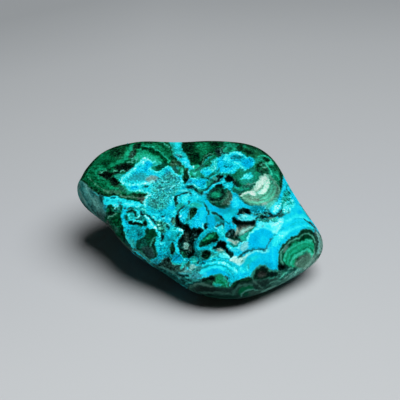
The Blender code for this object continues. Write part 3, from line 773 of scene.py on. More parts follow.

# Layers bared by the chip, and a painted reflection of the lamp on its wall.
CHIP_LAYERS_AND_REFLECTION_MARKS = (
    (line, .13, 2.4, .1, 2.4, (241.5,198.5, 244.5,202.5, 249,205, 254,206, 260,206, 265,205)),
    (area, .54, 2.4, .35, 1, (240,196.5, 242,194, 246,192, 250,190, 254,186.5, 257,182, 259,178.5,
        262,175.5, 266,173.5, 269.5,174.5, 272,178, 276,182, 279,186, 280,190, 279,195, 276,199, 271,202,
        265,204.5, 260,205, 254,205, 249,204, 245,201, 242,198)),
    # From here to the full white line below, painted reflection of the lamp: the silver and white on the
    # chip's wall.
    (area, .56, 2.2, .75, 1.4, (254,190, 257,184.5, 260,180, 264,176, 267,177, 265.5,182.5, 262.5,187,
        259,191, 255.5,192.5)),
    (line, .46, 2.2, .75, 1, (258,190, 261,184.5, 262.5,180)),
    (line, .66, 2, .6, 1.2, (256.5,189.5, 259.5,184.5, 261.5,180.5)),
    (line, .88, 1.9, .4, 2.3, (254.5,187.5, 257,183.5, 259.5,180, 262,178)),
    (line, .72, 2, .7, 1.8, (251.5,190.5, 254,189, 255.5,187)),
    (line, .74, 2, .6, 1.6, (260,177.5, 263.5,175.5, 267,174.5)),
    (area, .84, 2.1, .25, 1.4, (263.5,183, 266,177.5, 267,174.5, 270,179, 269.5,185, 267.5,190, 262.5,194.5,
        257,194.5, 256.5,192.5, 261,190.5, 264,186.5)),
    (area, .92, 1.8, 0, 1.4, (257,192.5, 261.5,191, 264.5,188, 265,190, 262,193, 258,194)),
    (area, .95, 1.8, .3, 1.2, (245.5,193, 249.5,191, 254,191, 256,193.5, 257,196.5, 252,195, 247.5,194)),
    (line, 1, 1.8, .5, 1.6, (240.5,196, 243,194, 246,192.5)),
    (line, .44, 2.4, .2, 1.7, (270.5,179, 271,185, 269,191, 265,195.5, 259.5,197.5)),
    (line, .68, 2.3, .1, 1.3, (271.5,181, 272.5,186, 270.5,192, 266.5,197, 261,199)),
    (line, .48, 2.5, .15, 1.3, (272.5,182, 274,187, 272,193, 268,198.5, 263.5,200.5)),
    (line, .64, 2.4, .1, 1.3, (275.5,186, 275,191.5, 272,196.5, 267,200.5, 262,202.5)),
    (line, .38, 2.4, .35, 2, (277.5,186, 278,190.5, 276,196, 271.5,200.5, 267.5,202.5)),
    (area, .56, 2.6, .45, 1.4, (243.5,197, 248,195, 254,196.5, 258.5,198, 260.5,200, 256,202, 249.5,202,
        245.5,200)),
    (line, .44, 2.4, .6, 1.3, (249.5,198.5, 254,199.5, 259,199.5)),
    (line, .5, 2.6, .3, 1.5, (244.5,200, 249,203, 254,204, 259,204)),
    (line, .7, 2.4, .2, 1.3, (250,202, 255,203, 260,202.5, 264,201)),
    (area, .5, 2, .7, 1.4, (261,203.5, 264.5,202.5, 268,203, 267,206.5, 262,206)),
)

# Blue and green edge to the right of the chip.
CHIP_RIGHT_MARKS = (
    (area, .66, .5, 0, 1.3, (284,174, 282.5,180, 282.5,186, 281.5,191, 279.5,196, 276,200.5, 271,204,
        266,208, 262,212, 266,216, 330,240, 320,190)),
    (area, .47, 0, 0, 1.8, (250,208.5, 255,207, 262,207.5, 263,210.5, 257,212.5, 252,211)),
    (area, .38, .9, .05, 1.8, (261,206.5, 266,205.5, 269,206, 268,210, 264,213, 261,210.5)),
    (area, .62, .1, 0, 1.8, (270,205, 275,201, 279.5,196.5, 281.5,191, 283,196, 281,202, 276,208, 271,213,
        267,211)),
    (line, .4, 1.2, 0, 1.6, (271,204.5, 276,200.5, 279.5,196)),
    (area, .8, 1, 0, 1.6, (275.5,208, 279,203, 281.5,203.5, 281.5,209, 277.5,214, 272.5,215)),
)

# Sky blue ground of the middle and the right.
RIGHT_GROUND_MARKS = (
    (area, .64, .4, 0, 3, (206,203, 222,209, 230,206, 231,200, 240,197, 246,205, 266,206, 272,203, 300,197,
        312,215, 320,232, 300,234, 282,250, 278,272, 250,276, 228,284, 222,275, 228,262, 218,256, 232,256,
        222,240, 226,234, 218,230, 207,228)),
)

# Dark seam in front of the small eye, and the blue round it.
SEAM_MARKS = (
    (area, .6, .2, 0, 1.5, (208,206, 212,204.5, 217,208, 221,211, 217,212.5, 210,211.5)),
    (line, .2, 1.6, .1, 2.2, (212,212.5, 215,213.5, 218.5,215, 221,217.5, 223,220)),
    (line, .1, 1, .1, 1.6, (220.5,216.5, 221.5,218.5, 223,220)),
    (area, .42, 1.2, 0, 1.8, (213.5,215, 218,216, 220.5,219, 219,222.5, 216,221, 213.5,218.5)),
    (area, .24, 1, .05, 1.6, (212.5,220.5, 215.5,219.5, 216,222.5, 215,225, 213,224)),
    (area, .42, 1, 0, 1.8, (218.5,218.5, 222.5,219.5, 225,222.5, 224.5,226.5, 221,224, 218.5,222)),
    (line, .2, 1.6, .15, 1.7, (215,227.5, 217,225.5, 219.5,224.5, 222,224, 224,226)),
    (line, .9, 1, .05, 1.8, (214.5,227.5, 216.5,229, 219,230.5)),
    (line, .78, .9, 0, 2, (219,230.5, 222,233.5, 225,237, 228,240.5)),
    (area, .7, 1.2, 0, 1.8, (218,226.5, 222,225.5, 225,228, 226,233, 224,235, 220.5,231.5)),
    (line, .84, 1.5, .05, 1.2, (222,226.5, 222.5,228.5)),
    (area, .56, .2, 0, 2, (225,223, 229,223.5, 233,226.5, 231,229, 227,231.5, 225,228)),
    (area, .68, .7, 0, 2, (223,212, 229,211.5, 232,215, 231,220, 228,222, 224,219)),
    (line, .4, .8, 0, 1.2, (224.5,221, 227,222.5, 230,223.5)),
    (area, .72, .4, 0, 2, (231,201, 237,199, 240,201, 239,206, 233,209, 231.5,205)),
    (area, .6, .8, 0, 2, (230,208, 237,208, 237.5,214, 235,216, 231,216, 229,212)),
)

# Narrow pale ledge, with a slot behind it and another in front, both dark with painted shade.
LEDGE_MARKS = (
    (area, .13, 1.6, .1, 1.1, (238,214.5, 239,209, 242.5,208, 248,208.5, 250,210.5, 251.5,214.5, 248,214.5,
        244,213.5, 240.5,215)),
    (area, .24, 1.6, .1, 1.3, (239.5,209, 244,208.5, 244,211, 239.5,211.5)),
    (area, .04, 1, .2, 1.2, (244.5,211, 248.5,211, 251,214.5, 247.5,214, 244.5,213)),
    (line, .04, 1, .2, 1.6, (238,214, 240.5,212, 242,212.5)),
    (line, .5, 1.5, .8, 1.2, (242,212, 244,213)),
    (area, .74, .8, .12, 1.3, (237.5,217.5, 240.5,215, 245,214, 248.5,215, 253,216.5, 257,217.5, 256.5,220,
        250,220.5, 244,221.5, 240.5,220.5, 238,219.5)),
    (area, .84, 1.2, .2, 1.2, (241.5,215.5, 245,214.5, 247,216, 243.5,217.5)),
    (line, .52, 1.1, .1, 1.2, (238,217, 240.5,216.5, 242,218.5)),
    (line, .52, 1, 0, 1.3, (245.5,217.5, 246,219)),
    (area, .8, 1.1, 0, 1.4, (247,217, 251.5,216.5, 253,218.5, 249.5,220, 247,219)),
    (area, .11, 1.4, 0, 1.2, (232,217.5, 234,216.5, 235.5,218, 236.5,220, 235,222, 232,221.5)),
    (area, .13, 1.6, .3, 1.2, (232,220.5, 236.5,220, 240.5,220.5, 244,222, 249.5,221, 254.5,220, 256,223,
        255.5,226.5, 251.5,230.5, 249.5,232.5, 248,237, 247,240, 243.5,241.5, 240.5,242, 237.5,240.5,
        236.5,236, 237,231, 237,227, 236,224.5, 233,224)),
    # Painted shadow under the ledge's lip, along the top of the front slot.
    (area, .03, 1.2, .1, 1.1, (232,221, 236.5,220, 240.5,221, 244,222, 249.5,221.5, 254,221, 254,223.5,
        250,224.5, 243,224.5, 237.5,225.5, 235,224)),
    (area, .2, 2, .85, 1.5, (237.5,225, 243,225, 249,225, 252,225, 250,227, 243,228.5, 240,230.5,
        237.5,231)),
    (area, .44, 2, .8, 1.5, (238.5,230.5, 241.5,227.5, 246,226.5, 251.5,225, 253.5,226.5, 250,229,
        247.5,231, 244,233.5, 240.5,235, 238.5,233.5)),
    (line, .68, 1.9, .6, 1.4, (243.5,231, 247,230, 250,228, 252.5,226.5)),
    (line, .2, 1.9, .8, 1.2, (248,228, 249,228.5)),
    (area, .34, 2.5, .7, 1.4, (236.5,227.5, 239,227, 239,232, 238,235.5, 236.5,234)),
    (area, .44, 2, 0, 1.2, (239.5,235.5, 243.5,234.5, 248,231, 251.5,228.5, 254,226, 255.5,224, 256.5,226.5,
        253.5,230, 250,232, 248,235.5, 247,240, 243.5,241.5, 240.5,241.5, 239,238.5)),
    (area, .34, 2, .05, 1.4, (243.5,234.5, 247.5,232, 248,234, 246,237.5, 243,238)),
    (line, .56, 1.7, .2, 1.1, (238.5,234.5, 241,234.5, 243,233.5)),
    (area, .28, 1.8, 0, 1.3, (238,236.5, 240,236.5, 240.5,239.5, 238.5,240.5)),
)

# Grey nook in front of the ledge.
GREY_NOOK_MARKS = (
    # Painted shade in the nook's hollow, here and in its darkest mark below.
    (area, .14, 1.4, .1, 1.1, (224,236, 227,232.5, 229.5,229.5, 232,229, 234.5,229.5, 235.5,232, 234.5,234,
        234,236, 236.5,236, 239,237.5, 239.5,240, 236,241, 231,239.5, 228,238.5)),
    (area, .27, 1.3, .2, 1.4, (225.5,236, 228,233, 230,233, 229.5,236.5, 227.5,237.5)),
    (area, .04, 1.4, .2, 1.3, (229.5,236.5, 231.5,234, 233.5,234.5, 233,236.5, 230.5,237.5)),
    (area, .68, .9, .5, 1.1, (231,232, 232,230.5, 233,232, 232,233)),
    (line, .5, .9, .4, 1.3, (228.5,235, 230,234)),
    (line, .5, 1.6, .4, 1.2, (234.5,231, 234.5,229.5)),
    (area, .17, 2.4, .1, 1.4, (231,237.5, 235,236.5, 239,238, 239,240, 235,240, 232,239.5)),
    (line, .6, 2.3, .85, 1.7, (234,236.5, 235.5,234.5, 237,232, 237,229)),
    (area, .7, 1.9, .75, 1.2, (227,239, 230.5,239, 233.5,241, 238.5,240.5, 239.5,242.5, 237,243.5,
        235.5,245, 232.5,243.5, 230,242)),
    (line, .5, 1.9, .6, 1.2, (236,241.5, 236.5,244.5)),
    (area, .56, 1.7, 0, 1.3, (228,242.5, 231.5,243, 235,245.5, 238.5,244.5, 239,247, 235,247.5, 231,246,
        228,244.5)),
    (line, .36, 1.8, 0, 1.5, (230,243.5, 233,246, 236.5,246.5, 239,244.5, 240,242)),
    (line, .88, 1.1, 0, 1.8, (226,246, 229,246.5, 232,248, 235,248.5, 238,247)),
    (line, .84, .7, .1, 1.4, (238,248, 239,245, 240.5,243.5)),
    (area, .7, .9, .35, 1.6, (239.5,247, 242.5,243.5, 245.5,241.5, 249.5,241.5, 250,245, 247,249, 243,251.5,
        240,250.5)),
    (line, .88, 1, .1, 1.2, (241.5,244, 244,242, 247,241.5)),
    (area, .62, .5, 0, 1.8, (229,249, 237,249.5, 242,252, 240,254.5, 234.5,253.5)),
    (line, .8, .9, .05, 1.2, (230,249, 234,250.5, 238,251)),
)

# Long slash to the left of the nook, dark with painted shade.
LONG_SLASH_MARKS = (
    (area, .07, 1.7, .15, 1.1, (217.5,243, 218.5,241, 221.5,240.5, 225,241.5, 226.5,243.5, 225.5,246,
        227.5,249, 230.5,251.5, 234,254.5, 233.5,256, 230.5,258, 229,256, 228,253.5, 225,251, 222,248,
        219,247.5, 216,249, 211.5,248.5, 214,247, 216,245)),
    (area, .03, 1.3, .2, 1.4, (218.5,243, 221,241.5, 224,244.5, 226,249, 229.5,252.5, 227.5,252.5,
        223.5,248.5, 219.5,246.5)),
    (area, .22, 1.7, .1, 1.2, (229.5,253, 233.5,254, 233.5,256, 231,258, 229.5,256)),
    (area, .62, 2.1, .85, 1.2, (216.5,249, 219,248, 222.5,249.5, 224,251.5, 220.5,251, 217.5,251)),
    (area, .56, 1.6, .15, 1.5, (216.5,251, 221,251, 225,252, 227,253.5, 222,254, 217.5,253.5)),
    (area, .2, 1.5, .1, 1.3, (210.5,248.5, 214,248.5, 217,249.5, 216.5,251, 213.5,250.5)),
    (line, .78, 1.1, 0, 1.3, (210,248.5, 212.5,250.5, 215.5,252.5, 218,253)),
    (area, .4, 1.6, .05, 1.4, (211.5,251.5, 215.5,253, 219,254.5, 216,257, 212,258.5, 211,256,
        212.5,253.5)),
    (line, .68, 1.7, .05, 1.6, (212,257.5, 214.5,256, 217.5,254.5)),
    (line, .52, 1.6, .05, 1.2, (212,258.5, 215.5,257, 218,256)),
    (area, .82, 1.1, .05, 1.5, (219,254, 224,253, 227.5,254, 229.5,256, 229.5,258.5, 226,257.5, 222,258,
        219,256.5)),
    (line, .9, 1.2, .2, 1.4, (224,253.5, 227,254.5, 229,257)),
    (line, .4, 1.5, .1, 1.4, (225.5,259, 228,259, 229.5,260)),
)

# Pale wedge to the right of the slash.
PALE_WEDGE_MARKS = (
    (area, .84, 1.5, .5, 1.3, (230,259.5, 231.5,257.5, 234,256, 237.5,258, 243,257, 246.5,254.5, 251,252,
        250,255, 246,258, 244,261.5, 240.5,265.5, 237,263.5, 233.5,262, 230.5,261.5)),
    (line, .94, 1.2, .3, 1.6, (231.5,259, 233.5,257, 236,257.5)),
    (area, .84, .8, .25, 1.4, (237.5,263.5, 240.5,262.5, 241.5,265.5, 239.5,268, 237.5,266.5)),
    (area, .7, 1.1, .35, 1.4, (241.5,259.5, 245,257.5, 247.5,258, 245,261.5, 242.5,264.5)),
    (area, .22, 1.6, .1, 1, (238,256, 240,255, 242.5,255.5, 242,257, 239.5,258, 237.5,257)),
    (line, .64, 1.6, .3, .9, (238,256.5, 239,256)),
    (line, .36, 1.6, .2, 1.2, (241,262, 242,261)),
    (line, .26, 1, .05, 2, (241.5,255, 244,253, 247,251.5, 251,250.5, 254,249.5, 258,249, 262,249.5,
        265,250)),
    (line, .8, .9, .2, 1.8, (248,254.5, 251.5,252, 256,251, 260,251, 264,252.5, 266.5,250.5)),
)

# Blue beside the pale wedge.
WEDGE_SIDE_MARKS = (
    (area, .62, .9, 0, 1.6, (243,263, 246,259, 251,257, 254,260, 250,264, 249,271, 245.5,272, 244,267)),
    (line, .82, 1, .05, 1.4, (248,268, 247.5,265, 248,271.5)),
    (line, .5, 1.2, .05, 1.2, (248.5,264.5, 249,268)),
    (area, .6, .3, 0, 2, (252,262, 262,259, 270,262, 269,267, 263,264.5, 257,265.5, 252,269, 250,267)),
    (area, .7, 1, 0, 2, (250,258, 256,255.5, 260,256.5, 256,260, 251,261)),
)

# Blue field with a pale rim, and the crack along it.
BLUE_FIELD_MARKS = (
    (area, .62, .15, 0, 1.6, (248,247, 247.5,240, 249,235, 253,231, 258,228.5, 263,228.5, 268,229.5,
        272,233, 271.5,238, 269,243, 267,247.5, 262,248.5, 256,248.5, 251,250)),
    (area, .58, 0, 0, 2.4, (251.5,243, 252.5,237.5, 256,235, 258,238, 255.5,243, 253,247)),
    (area, .67, .4, 0, 2, (259,245, 261,234, 266,236, 269,240, 266.5,246)),
    (line, .86, 1.2, 0, 2.1, (247.5,240, 248,236.5, 249.5,233.5, 252,231.5, 255,229.5, 258,228.5)),
    (area, .82, 1, .05, 1.6, (257,222, 262,222, 268,223, 273,222.5, 279,220.5, 284,221, 281,226,
        281.5,230.5, 276,234, 272.5,233.5, 270,230, 263,228.5, 258,228, 256.5,225.5)),
    (area, .83, 1, .05, 1.8, (271,224, 278,222, 283,222, 279,225, 273,226.5)),
    (area, .54, .9, .3, 1.1, (261.5,225.5, 264,225.5, 263,227, 261.5,227)),
    (area, .76, .8, 0, 1.5, (266,224.5, 271,226, 277,226.5, 276,231, 270.5,229.5, 267,228)),
    (area, .76, .9, 0, 1.6, (272,236.5, 276,234.5, 281,231, 287,231.5, 286,237, 281,242, 277,246, 273.5,247,
        271.5,243)),
    (line, .8, 1, 0, 2.4, (277.5,241, 282,237, 286.5,233.5)),
    (line, .76, 1.1, 0, 3, (287,233, 293,228.5, 299,224.5, 303,223)),
    (line, .3, 1, .1, 1, (265.5,250, 267,247.5, 268.5,243.5, 270.5,240, 271.5,238.5)),
    (line, .44, .9, .05, .8, (271.5,238.5, 273,237)),
    (line, .34, 1, .05, .8, (274.5,235.5, 276.5,234)),
    (line, .52, .8, 0, .7, (276.5,234, 279,231.5, 283,228.5)),
    (area, .76, .8, .05, 1.4, (267,251.5, 269.5,246.5, 270.5,248.5, 269,253)),
    (area, .66, .2, 0, 1.8, (270.5,270, 269.5,258, 270,248, 273,246.5, 277,246.5, 278.5,250, 278,258,
        278.5,270, 275,272)),
    (line, .72, .5, 0, 1.5, (272.5,246, 272.5,254, 273.5,262, 274,269)),
    (line, .6, .2, 0, 1.5, (269.5,254, 270,262, 270.5,269)),
    (line, .6, .3, 0, 1.2, (277,249, 276.5,258, 277,268)),
)

# Blue strip in front of the chip, and the dark crust along it.
DARK_CRUST_MARKS = (
    (area, .54, .15, .05, 1.6, (251,207, 256,206.5, 263,207, 263,211, 258,213, 252,211.5)),
    (line, .42, .2, .1, 1.2, (256,207, 258.5,208.5)),
    (area, .5, .8, .05, 1.5, (262,206, 270,204, 271,209, 269,212, 262,211)),
    (area, .4, 1.5, .1, 1.4, (251.5,212, 258,212, 264,211, 269,210.5, 270,213.5, 264,216, 257,215.5,
        252.5,214.5)),
    (line, .16, 1.3, .1, 1.4, (262,209.5, 264,209.5)),
    (line, .16, 1.3, .1, 1.5, (262.5,212.5, 265,212)),
    (area, .15, 1.7, .1, 1.3, (258,216.5, 263,215, 268,216.5, 272,216.5, 276.5,216, 276.5,218, 271,219,
        264,219, 258,219)),
    (line, .48, 1.8, .6, 1.3, (268.5,218.5, 272,218, 274.5,218.5)),
    (area, .46, 1.8, .05, 1.3, (256.5,219, 262,219, 269,219.5, 278,218.5, 279,220.5, 272,222, 264,222,
        258,221.5)),
    (line, .8, 1.2, .1, 1.2, (270,221.5, 272,221)),
    (line, .24, 1.5, .05, 1.6, (257.5,216.5, 256.5,219, 255.5,221.5)),
    (area, .78, 1.1, .05, 1.6, (272.5,212, 274,207.5, 277,204, 281,203.5, 281,207.5, 279,210.5, 276,213.5)),
    (line, .1, 1.1, .1, 1.9, (268.5,213.5, 271,214.5, 274,216, 277,215.5, 279.5,212.5, 282,210)),
    (area, .66, 1.7, 0, 1.4, (270.5,218.5, 274,218.5, 277,217.5, 279,219, 276,220.5, 271,220.5)),
    (area, .3, 1.7, .1, 1.2, (277.5,216.5, 279,214, 282,213.5, 284.5,214.5, 283,216.5, 280,218)),
    (area, .56, 1.7, .4, 1.1, (280.5,212, 282.5,210.5, 283.5,213.5, 281.5,213.5)),
    (line, .3, 1.7, .1, 1.6, (282,213, 282.5,209, 283.5,206, 287,205, 290,205.5)),
    (area, .84, 1.2, .1, 1.6, (284,207.5, 288,206.5, 293,206, 292,210, 288,214, 284.5,213.5, 283.5,210)),
    (line, .44, 1.6, .2, 1.3, (285.5,212, 287.5,213.5, 289.5,211)),
    (area, .84, 1.1, .1, 1.3, (278,219, 281,218, 284.5,218.5, 282,220.5, 279,220.5)),
    (area, .68, .9, 0, 2, (284,216, 289,214, 291,220, 287,226, 284,222)),
)

# Blue between the crust and the right edge.
RIGHT_BLUE_MARKS = (
    (area, .68, .5, 0, 2.5, (290,206, 300,204, 306,211, 308,220, 303,228, 296,233, 288,231, 288,220,
        291,212)),
    (area, .62, .1, 0, 2, (297,211, 302,210, 303,214, 299,215.5)),
    (line, .74, 1, 0, 1.6, (293,216, 298,214.5, 303,215)),
    (line, .56, .6, 0, 1.4, (292,219, 297,218, 302,218.5)),
    (area, .62, .2, 0, 2.2, (285,224, 290,222, 293,225, 288,229.5, 285,228)),
    (area, .6, .9, 0, 2, (302,205, 306,209, 310,217, 309,220, 304.5,215, 302.5,210)),
    (line, .3, 1.2, .4, 1.6, (300.5,204, 304,208.5, 308,214.5, 310.5,219)),
    (line, .17, 1.6, .1, 1.7, (304,219, 306.5,220, 309,222, 311,223.5)),
    (line, .24, 1.2, .3, 1.4, (310.5,223, 313.5,226, 316,229)),
    (area, .54, 1.3, 0, 1.8, (306,226, 310,225, 314,228, 316,232, 312,230.5, 308,228.5)),
    (area, .36, .8, .4, 1.6, (314,228, 317,229.5, 320,235, 318,237, 315.5,232.5)),
)

# Large malachite eye at the right.
LARGE_EYE_MARKS = (
    (area, .14, 2.6, .1, 1.2, (279,272, 278.5,262, 278.5,255, 279.5,249.5, 283,244.5, 288,240, 293,236.5,
        297.5,235.5, 300,232, 303.5,229.5, 307.5,229, 311.5,230, 314.5,233, 320,234, 335,240, 335,285,
        280,285)),
    (area, .25, 2.6, 0, 1.8, (280,262, 279.5,256, 281,250, 285,246, 283.5,252, 282.5,258, 283.5,264,
        281.5,263)),
    (line, .52, 2.1, .25, 1.3, (283.5,264.5, 281,260.5, 280,255, 281.5,250.5, 285,246, 289,242.5, 293,240,
        296,238.5, 298.5,238.5, 301,236, 304,234, 307.5,233, 311,234.5, 313.5,238, 315.5,242.5)),
    (line, .58, 2.2, .1, 1.6, (294,239.5, 297,239, 299.5,238.5)),
    (area, .25, 2.8, 0, 1.4, (283,262, 283,256, 285.5,250.5, 290,245.5, 295,242, 299,240.5, 302,237,
        306,235, 310.5,236.5, 312.5,240, 307,239, 302.5,241.5, 298,243.5, 292,246.5, 287.5,250.5, 284.5,256,
        284.5,262)),
    (area, .38, 2, .5, 1.4, (284,247, 287.5,244.5, 288.5,247, 286.5,250.5, 284,253, 283.5,250)),
    (area, .36, 2.9, 0, 1.4, (291,243, 295.5,240.5, 298,241.5, 295,244.5, 291.5,246)),
    (area, .12, 2.8, 0, 1.3, (298.5,241, 301,237.5, 304.5,235, 309.5,235, 311.5,237.5, 307,238, 303.5,239,
        300.5,242)),
    (area, .08, 3, 0, 1.3, (299,241, 301.5,237.5, 304.5,237, 303.5,239.5, 300.5,242)),
    (area, .47, 2.8, 0, 1.3, (284,263, 284,257, 287,251, 291.5,246.5, 297.5,243.5, 302,242, 305.5,239,
        310,239, 313.5,242, 315,248, 314,256, 311.5,262, 307,268, 297,268, 288,266.5)),
    (line, .6, 2.2, .05, 1.6, (284.5,260.5, 285,255.5, 288,250.5, 292,247, 297,244.5, 301.5,243.5,
        304.5,241, 308,240, 311.5,241)),
    (line, .56, 2.4, 0, 1.5, (303.5,243, 307,242, 311,243)),
    (line, .38, 3, 0, 1.5, (287,263, 287.5,257, 290.5,252.5, 295,249, 300,248.5, 303.5,246, 308,244.5,
        312,246)),
    (line, .52, 2.6, 0, 1.4, (288.5,261, 289.5,255, 293,251.5, 298,250, 302.5,248, 306.5,246, 310.5,246.5)),
    (line, .28, 2.8, 0, 1.5, (290,263, 290.5,257.5, 293,254, 297,252.5, 301,251.5, 304,248.5, 307.5,247,
        311,248.5, 312.5,252)),
    (line, .62, 2.1, .1, 2.1, (291,264, 292,259.5, 295.5,255.5, 300,254, 303.5,251, 307,249.5, 310,251,
        311.5,254.5)),
    (area, .34, 2.6, .2, 1.4, (293.5,266, 294.5,259.5, 297.5,256.5, 301,255.5, 303.5,252.5, 307.5,251,
        310.5,254, 311,259, 308,265, 304,270, 297,270)),
    (area, .22, 2, .75, 1.5, (296,265, 297,259.5, 300.5,257, 303.5,255.5, 306,253.5, 309,254.5, 309.5,259,
        307,264, 303,268, 298,267.5)),
    (line, .15, 2.6, .2, 1.6, (295.5,259, 298,258.5, 297.5,262)),
    (line, .44, 1.9, .4, 1, (300.5,256, 302.5,257.5, 303,259.5)),
    (line, .46, 1.9, .55, 1.2, (309.5,253, 310.5,256.5, 309,261, 305.5,265.5)),
    (area, .46, 1.9, .6, 1.2, (295.5,263.5, 297.5,263, 298,265, 296,265.5)),
    (line, .3, 1.9, .1, 1.2, (303.5,253, 306,253.5, 307.5,255.5)),
)

# Striped margin to the right of the large eye, with grey haze that is painted reflection of the floor.
STRIPED_MARGIN_AND_PAINTED_REFLECTION_MARKS = (
    (area, .38, 1.7, .6, 1.4, (313.5,233.5, 316,232, 319,234, 326,238, 326,256, 318,264, 310,270, 303,275,
        298,272, 304,268.5, 309,263.5, 312.5,257.5, 315,250, 315.5,243, 315,238)),
    (bands, .16, .1, .1, 2.3, ((313.5,233.5, 316,232, 319,234, 326,238, 326,256, 318,264, 310,270, 303,275,
        298,272, 304,268.5, 309,263.5, 312.5,257.5, 315,250, 315.5,243, 315,238), (314,230, 320.5,238,
        321.5,244, 320.5,249, 318,255, 314,260, 307,266, 300,272))),
    (line, .16, 2.2, .2, 1.7, (313,233, 315.5,237, 317,242.5, 316.5,248.5, 315.5,254)),
    (line, .18, 2, .3, 1.4, (317,237, 318,243, 318,249, 316.5,255)),
    (line, .56, 1.5, .4, 1.2, (316.5,232.5, 318.5,237, 319.5,243, 319,249, 317.5,253.5)),
    (area, .26, 1.8, .5, 1.6, (316,256, 320,253.5, 321,256, 317,261, 313.5,263)),
    (line, .5, 1.8, .8, 1.3, (313.5,258.5, 311,263, 306,267.5, 301.5,271.5)),
    (line, .52, 1.8, .85, 1.3, (318,259, 313,264.5, 307,269.5)),
)

# Dark folds in front of the large eye.
LARGE_EYE_FRONT_MARKS = (
    (area, .15, 1.9, .1, 1.4, (279,264, 284,264.5, 288.5,266, 296,268, 301,270, 298,276, 288,282, 279,282,
        277,276, 279,270)),
    (area, .06, 1.8, .1, 1.5, (279,265, 283,265.5, 286,267.5, 283.5,270.5, 279,270.5, 278,268)),
    (area, .22, 2.3, .1, 2, (279.5,272, 284,270.5, 285,273.5, 281.5,277.5, 278,278)),
    (line, .48, 1.9, .25, 1.4, (280,278, 282,276, 284.5,274, 286.5,272)),
    (line, .44, 1.9, .25, 1.5, (288.5,269.5, 290.5,268, 292.5,268.5)),
    (area, .36, 1.7, .3, 1.6, (288,280, 291,275.5, 295,271, 299,267, 301.5,268, 300,272.5, 294,278,
        290,281)),
    (line, .46, 1.8, .35, 1.5, (288,280, 291.5,275.5, 296,271.5, 300,267.5, 301,270)),
    (line, .16, 2, .4, 1.3, (282,280, 286,277, 289,274.5)),
    (line, .22, 2.2, .3, 1.2, (286.5,281, 290,278)),
)

# Agate arcs at the front.
FRONT_ARCS_MARKS = (
    (area, .64, .7, 0, 1.4, (185.5,270, 190,266, 197,264.5, 204,262.5, 208,258, 212.5,258.5, 218.5,256,
        224,257.5, 230,261, 236,264, 243,268, 249.5,272.5, 250,276, 240,279, 231,284, 228.5,283, 226.5,277,
        221,273.5, 214,274, 207,277, 200,279, 190,281, 180,283, 178,276, 183,272)),
    (area, .46, 1.3, .1, 2.4, (182,274, 188,269, 197,266, 204,265, 206,268, 201,271.5, 200,276, 194,279.5,
        184,281, 179,278)),
    (area, .44, .9, .15, 2, (189,277, 193,273.5, 200,274, 203,277, 196,279, 190,280)),
    (area, .52, .5, 0, 2, (200.5,259, 206,259.5, 208,261.5, 204,264.5, 200,263)),
    (area, .68, .8, 0, 2, (208,258.5, 213,259, 219,257, 225,258.5, 224,260.5, 214,261, 207.5,262)),
    (line, .5, 1.2, 0, 1.3, (210,261.5, 216,260, 223,260.5, 228,262.5, 233,266.5, 237,270)),
    (line, .8, .8, 0, 2.6, (203,266, 209,263.5, 215,262.5, 222,262.5, 227,264.5, 231.5,268, 235.5,271.5,
        237.5,273)),
    (line, .9, 1.1, 0, 1.2, (222,262, 227,264, 230,266.5)),
    (line, .9, 1.2, .05, 1.5, (234,267.5, 236.5,270.5, 237.5,272.5)),
    (line, .52, 1.1, 0, 1.4, (202,268.5, 208,266, 215,265, 221.5,265, 226,267.5, 229.5,270.5, 232.5,273.5)),
    (line, .78, .7, 0, 2.6, (200,272.5, 205,269.5, 210,267.5, 216,267, 221,267.5, 225.5,270, 229,273.5,
        231.5,277.5, 231.5,281)),
    (area, .6, .1, 0, 1.6, (204,274.5, 208.5,271, 213,269, 219,269, 224,271, 227.5,275, 229.5,279.5,
        230,284, 228.5,284, 226.5,278, 222,274, 215,273.5, 209,275.5, 204,277)),
    (area, .56, 0, 0, 2, (210,271, 214,269.5, 218.5,270, 217,272.5, 211.5,273.5)),
    (line, .52, .7, 0, 1.2, (225,269.5, 228.5,273, 230.5,277)),
    (line, .68, .8, .05, 1.2, (203,274.5, 205,272.5, 206,276)),
    (area, .66, .6, 0, 2, (230.5,268.5, 234,272, 237,276, 233.5,280, 230.5,283.5, 230.5,278)),
    (area, .72, .9, .05, 1.6, (231,270, 234,270.5, 234.5,274, 232,274.5)),
    (area, .64, .3, 0, 2, (238,272, 243,270, 249,273, 248,276, 240,278.5, 236,278)),
    (area, .74, .9, 0, 2, (239,267, 243,267, 246,270, 242,273, 239,271.5)),
    (line, .44, 1.5, .1, 1.3, (250.5,276.5, 246,278, 241,279, 236,281.5)),
    (line, .46, 1.9, .1, 1.3, (252,276, 252.5,272.5)),
)

# Dark rim at the left end of the foot.
FOOT_LEFT_MARKS = (
    (area, .19, 1.4, .1, 1.6, (150,262, 158,264.5, 166,269, 172,270.5, 178,271, 182,273.5, 184,276,
        188,279.5, 200,279.5, 206,278, 200,284, 190,290, 178,283, 166,276, 154,269)),
    (line, .36, 1.7, .2, 1.5, (160,265.5, 163,266, 166,268.5, 170,269.5, 175,270)),
    (line, .34, 1.3, .1, 1.6, (176,275.5, 181,278.5, 186,281, 190,283)),
    (line, .38, 1.4, .1, 1.8, (187,283.5, 192,281, 198,280, 204,278.5)),
    (line, .05, 1, .1, 2, (179,275, 182,276, 184.5,275.5, 188,275)),
    (line, .5, 1.6, .4, 1, (180,276.5, 181,277)),
    (area, .44, .9, .25, 1.5, (178.5,271.5, 184,268.5, 189,270, 190,273, 184,274, 179.5,273.5)),
    (line, .5, 1.7, .4, 1.2, (181,272, 186,271.5, 190,272)),
)

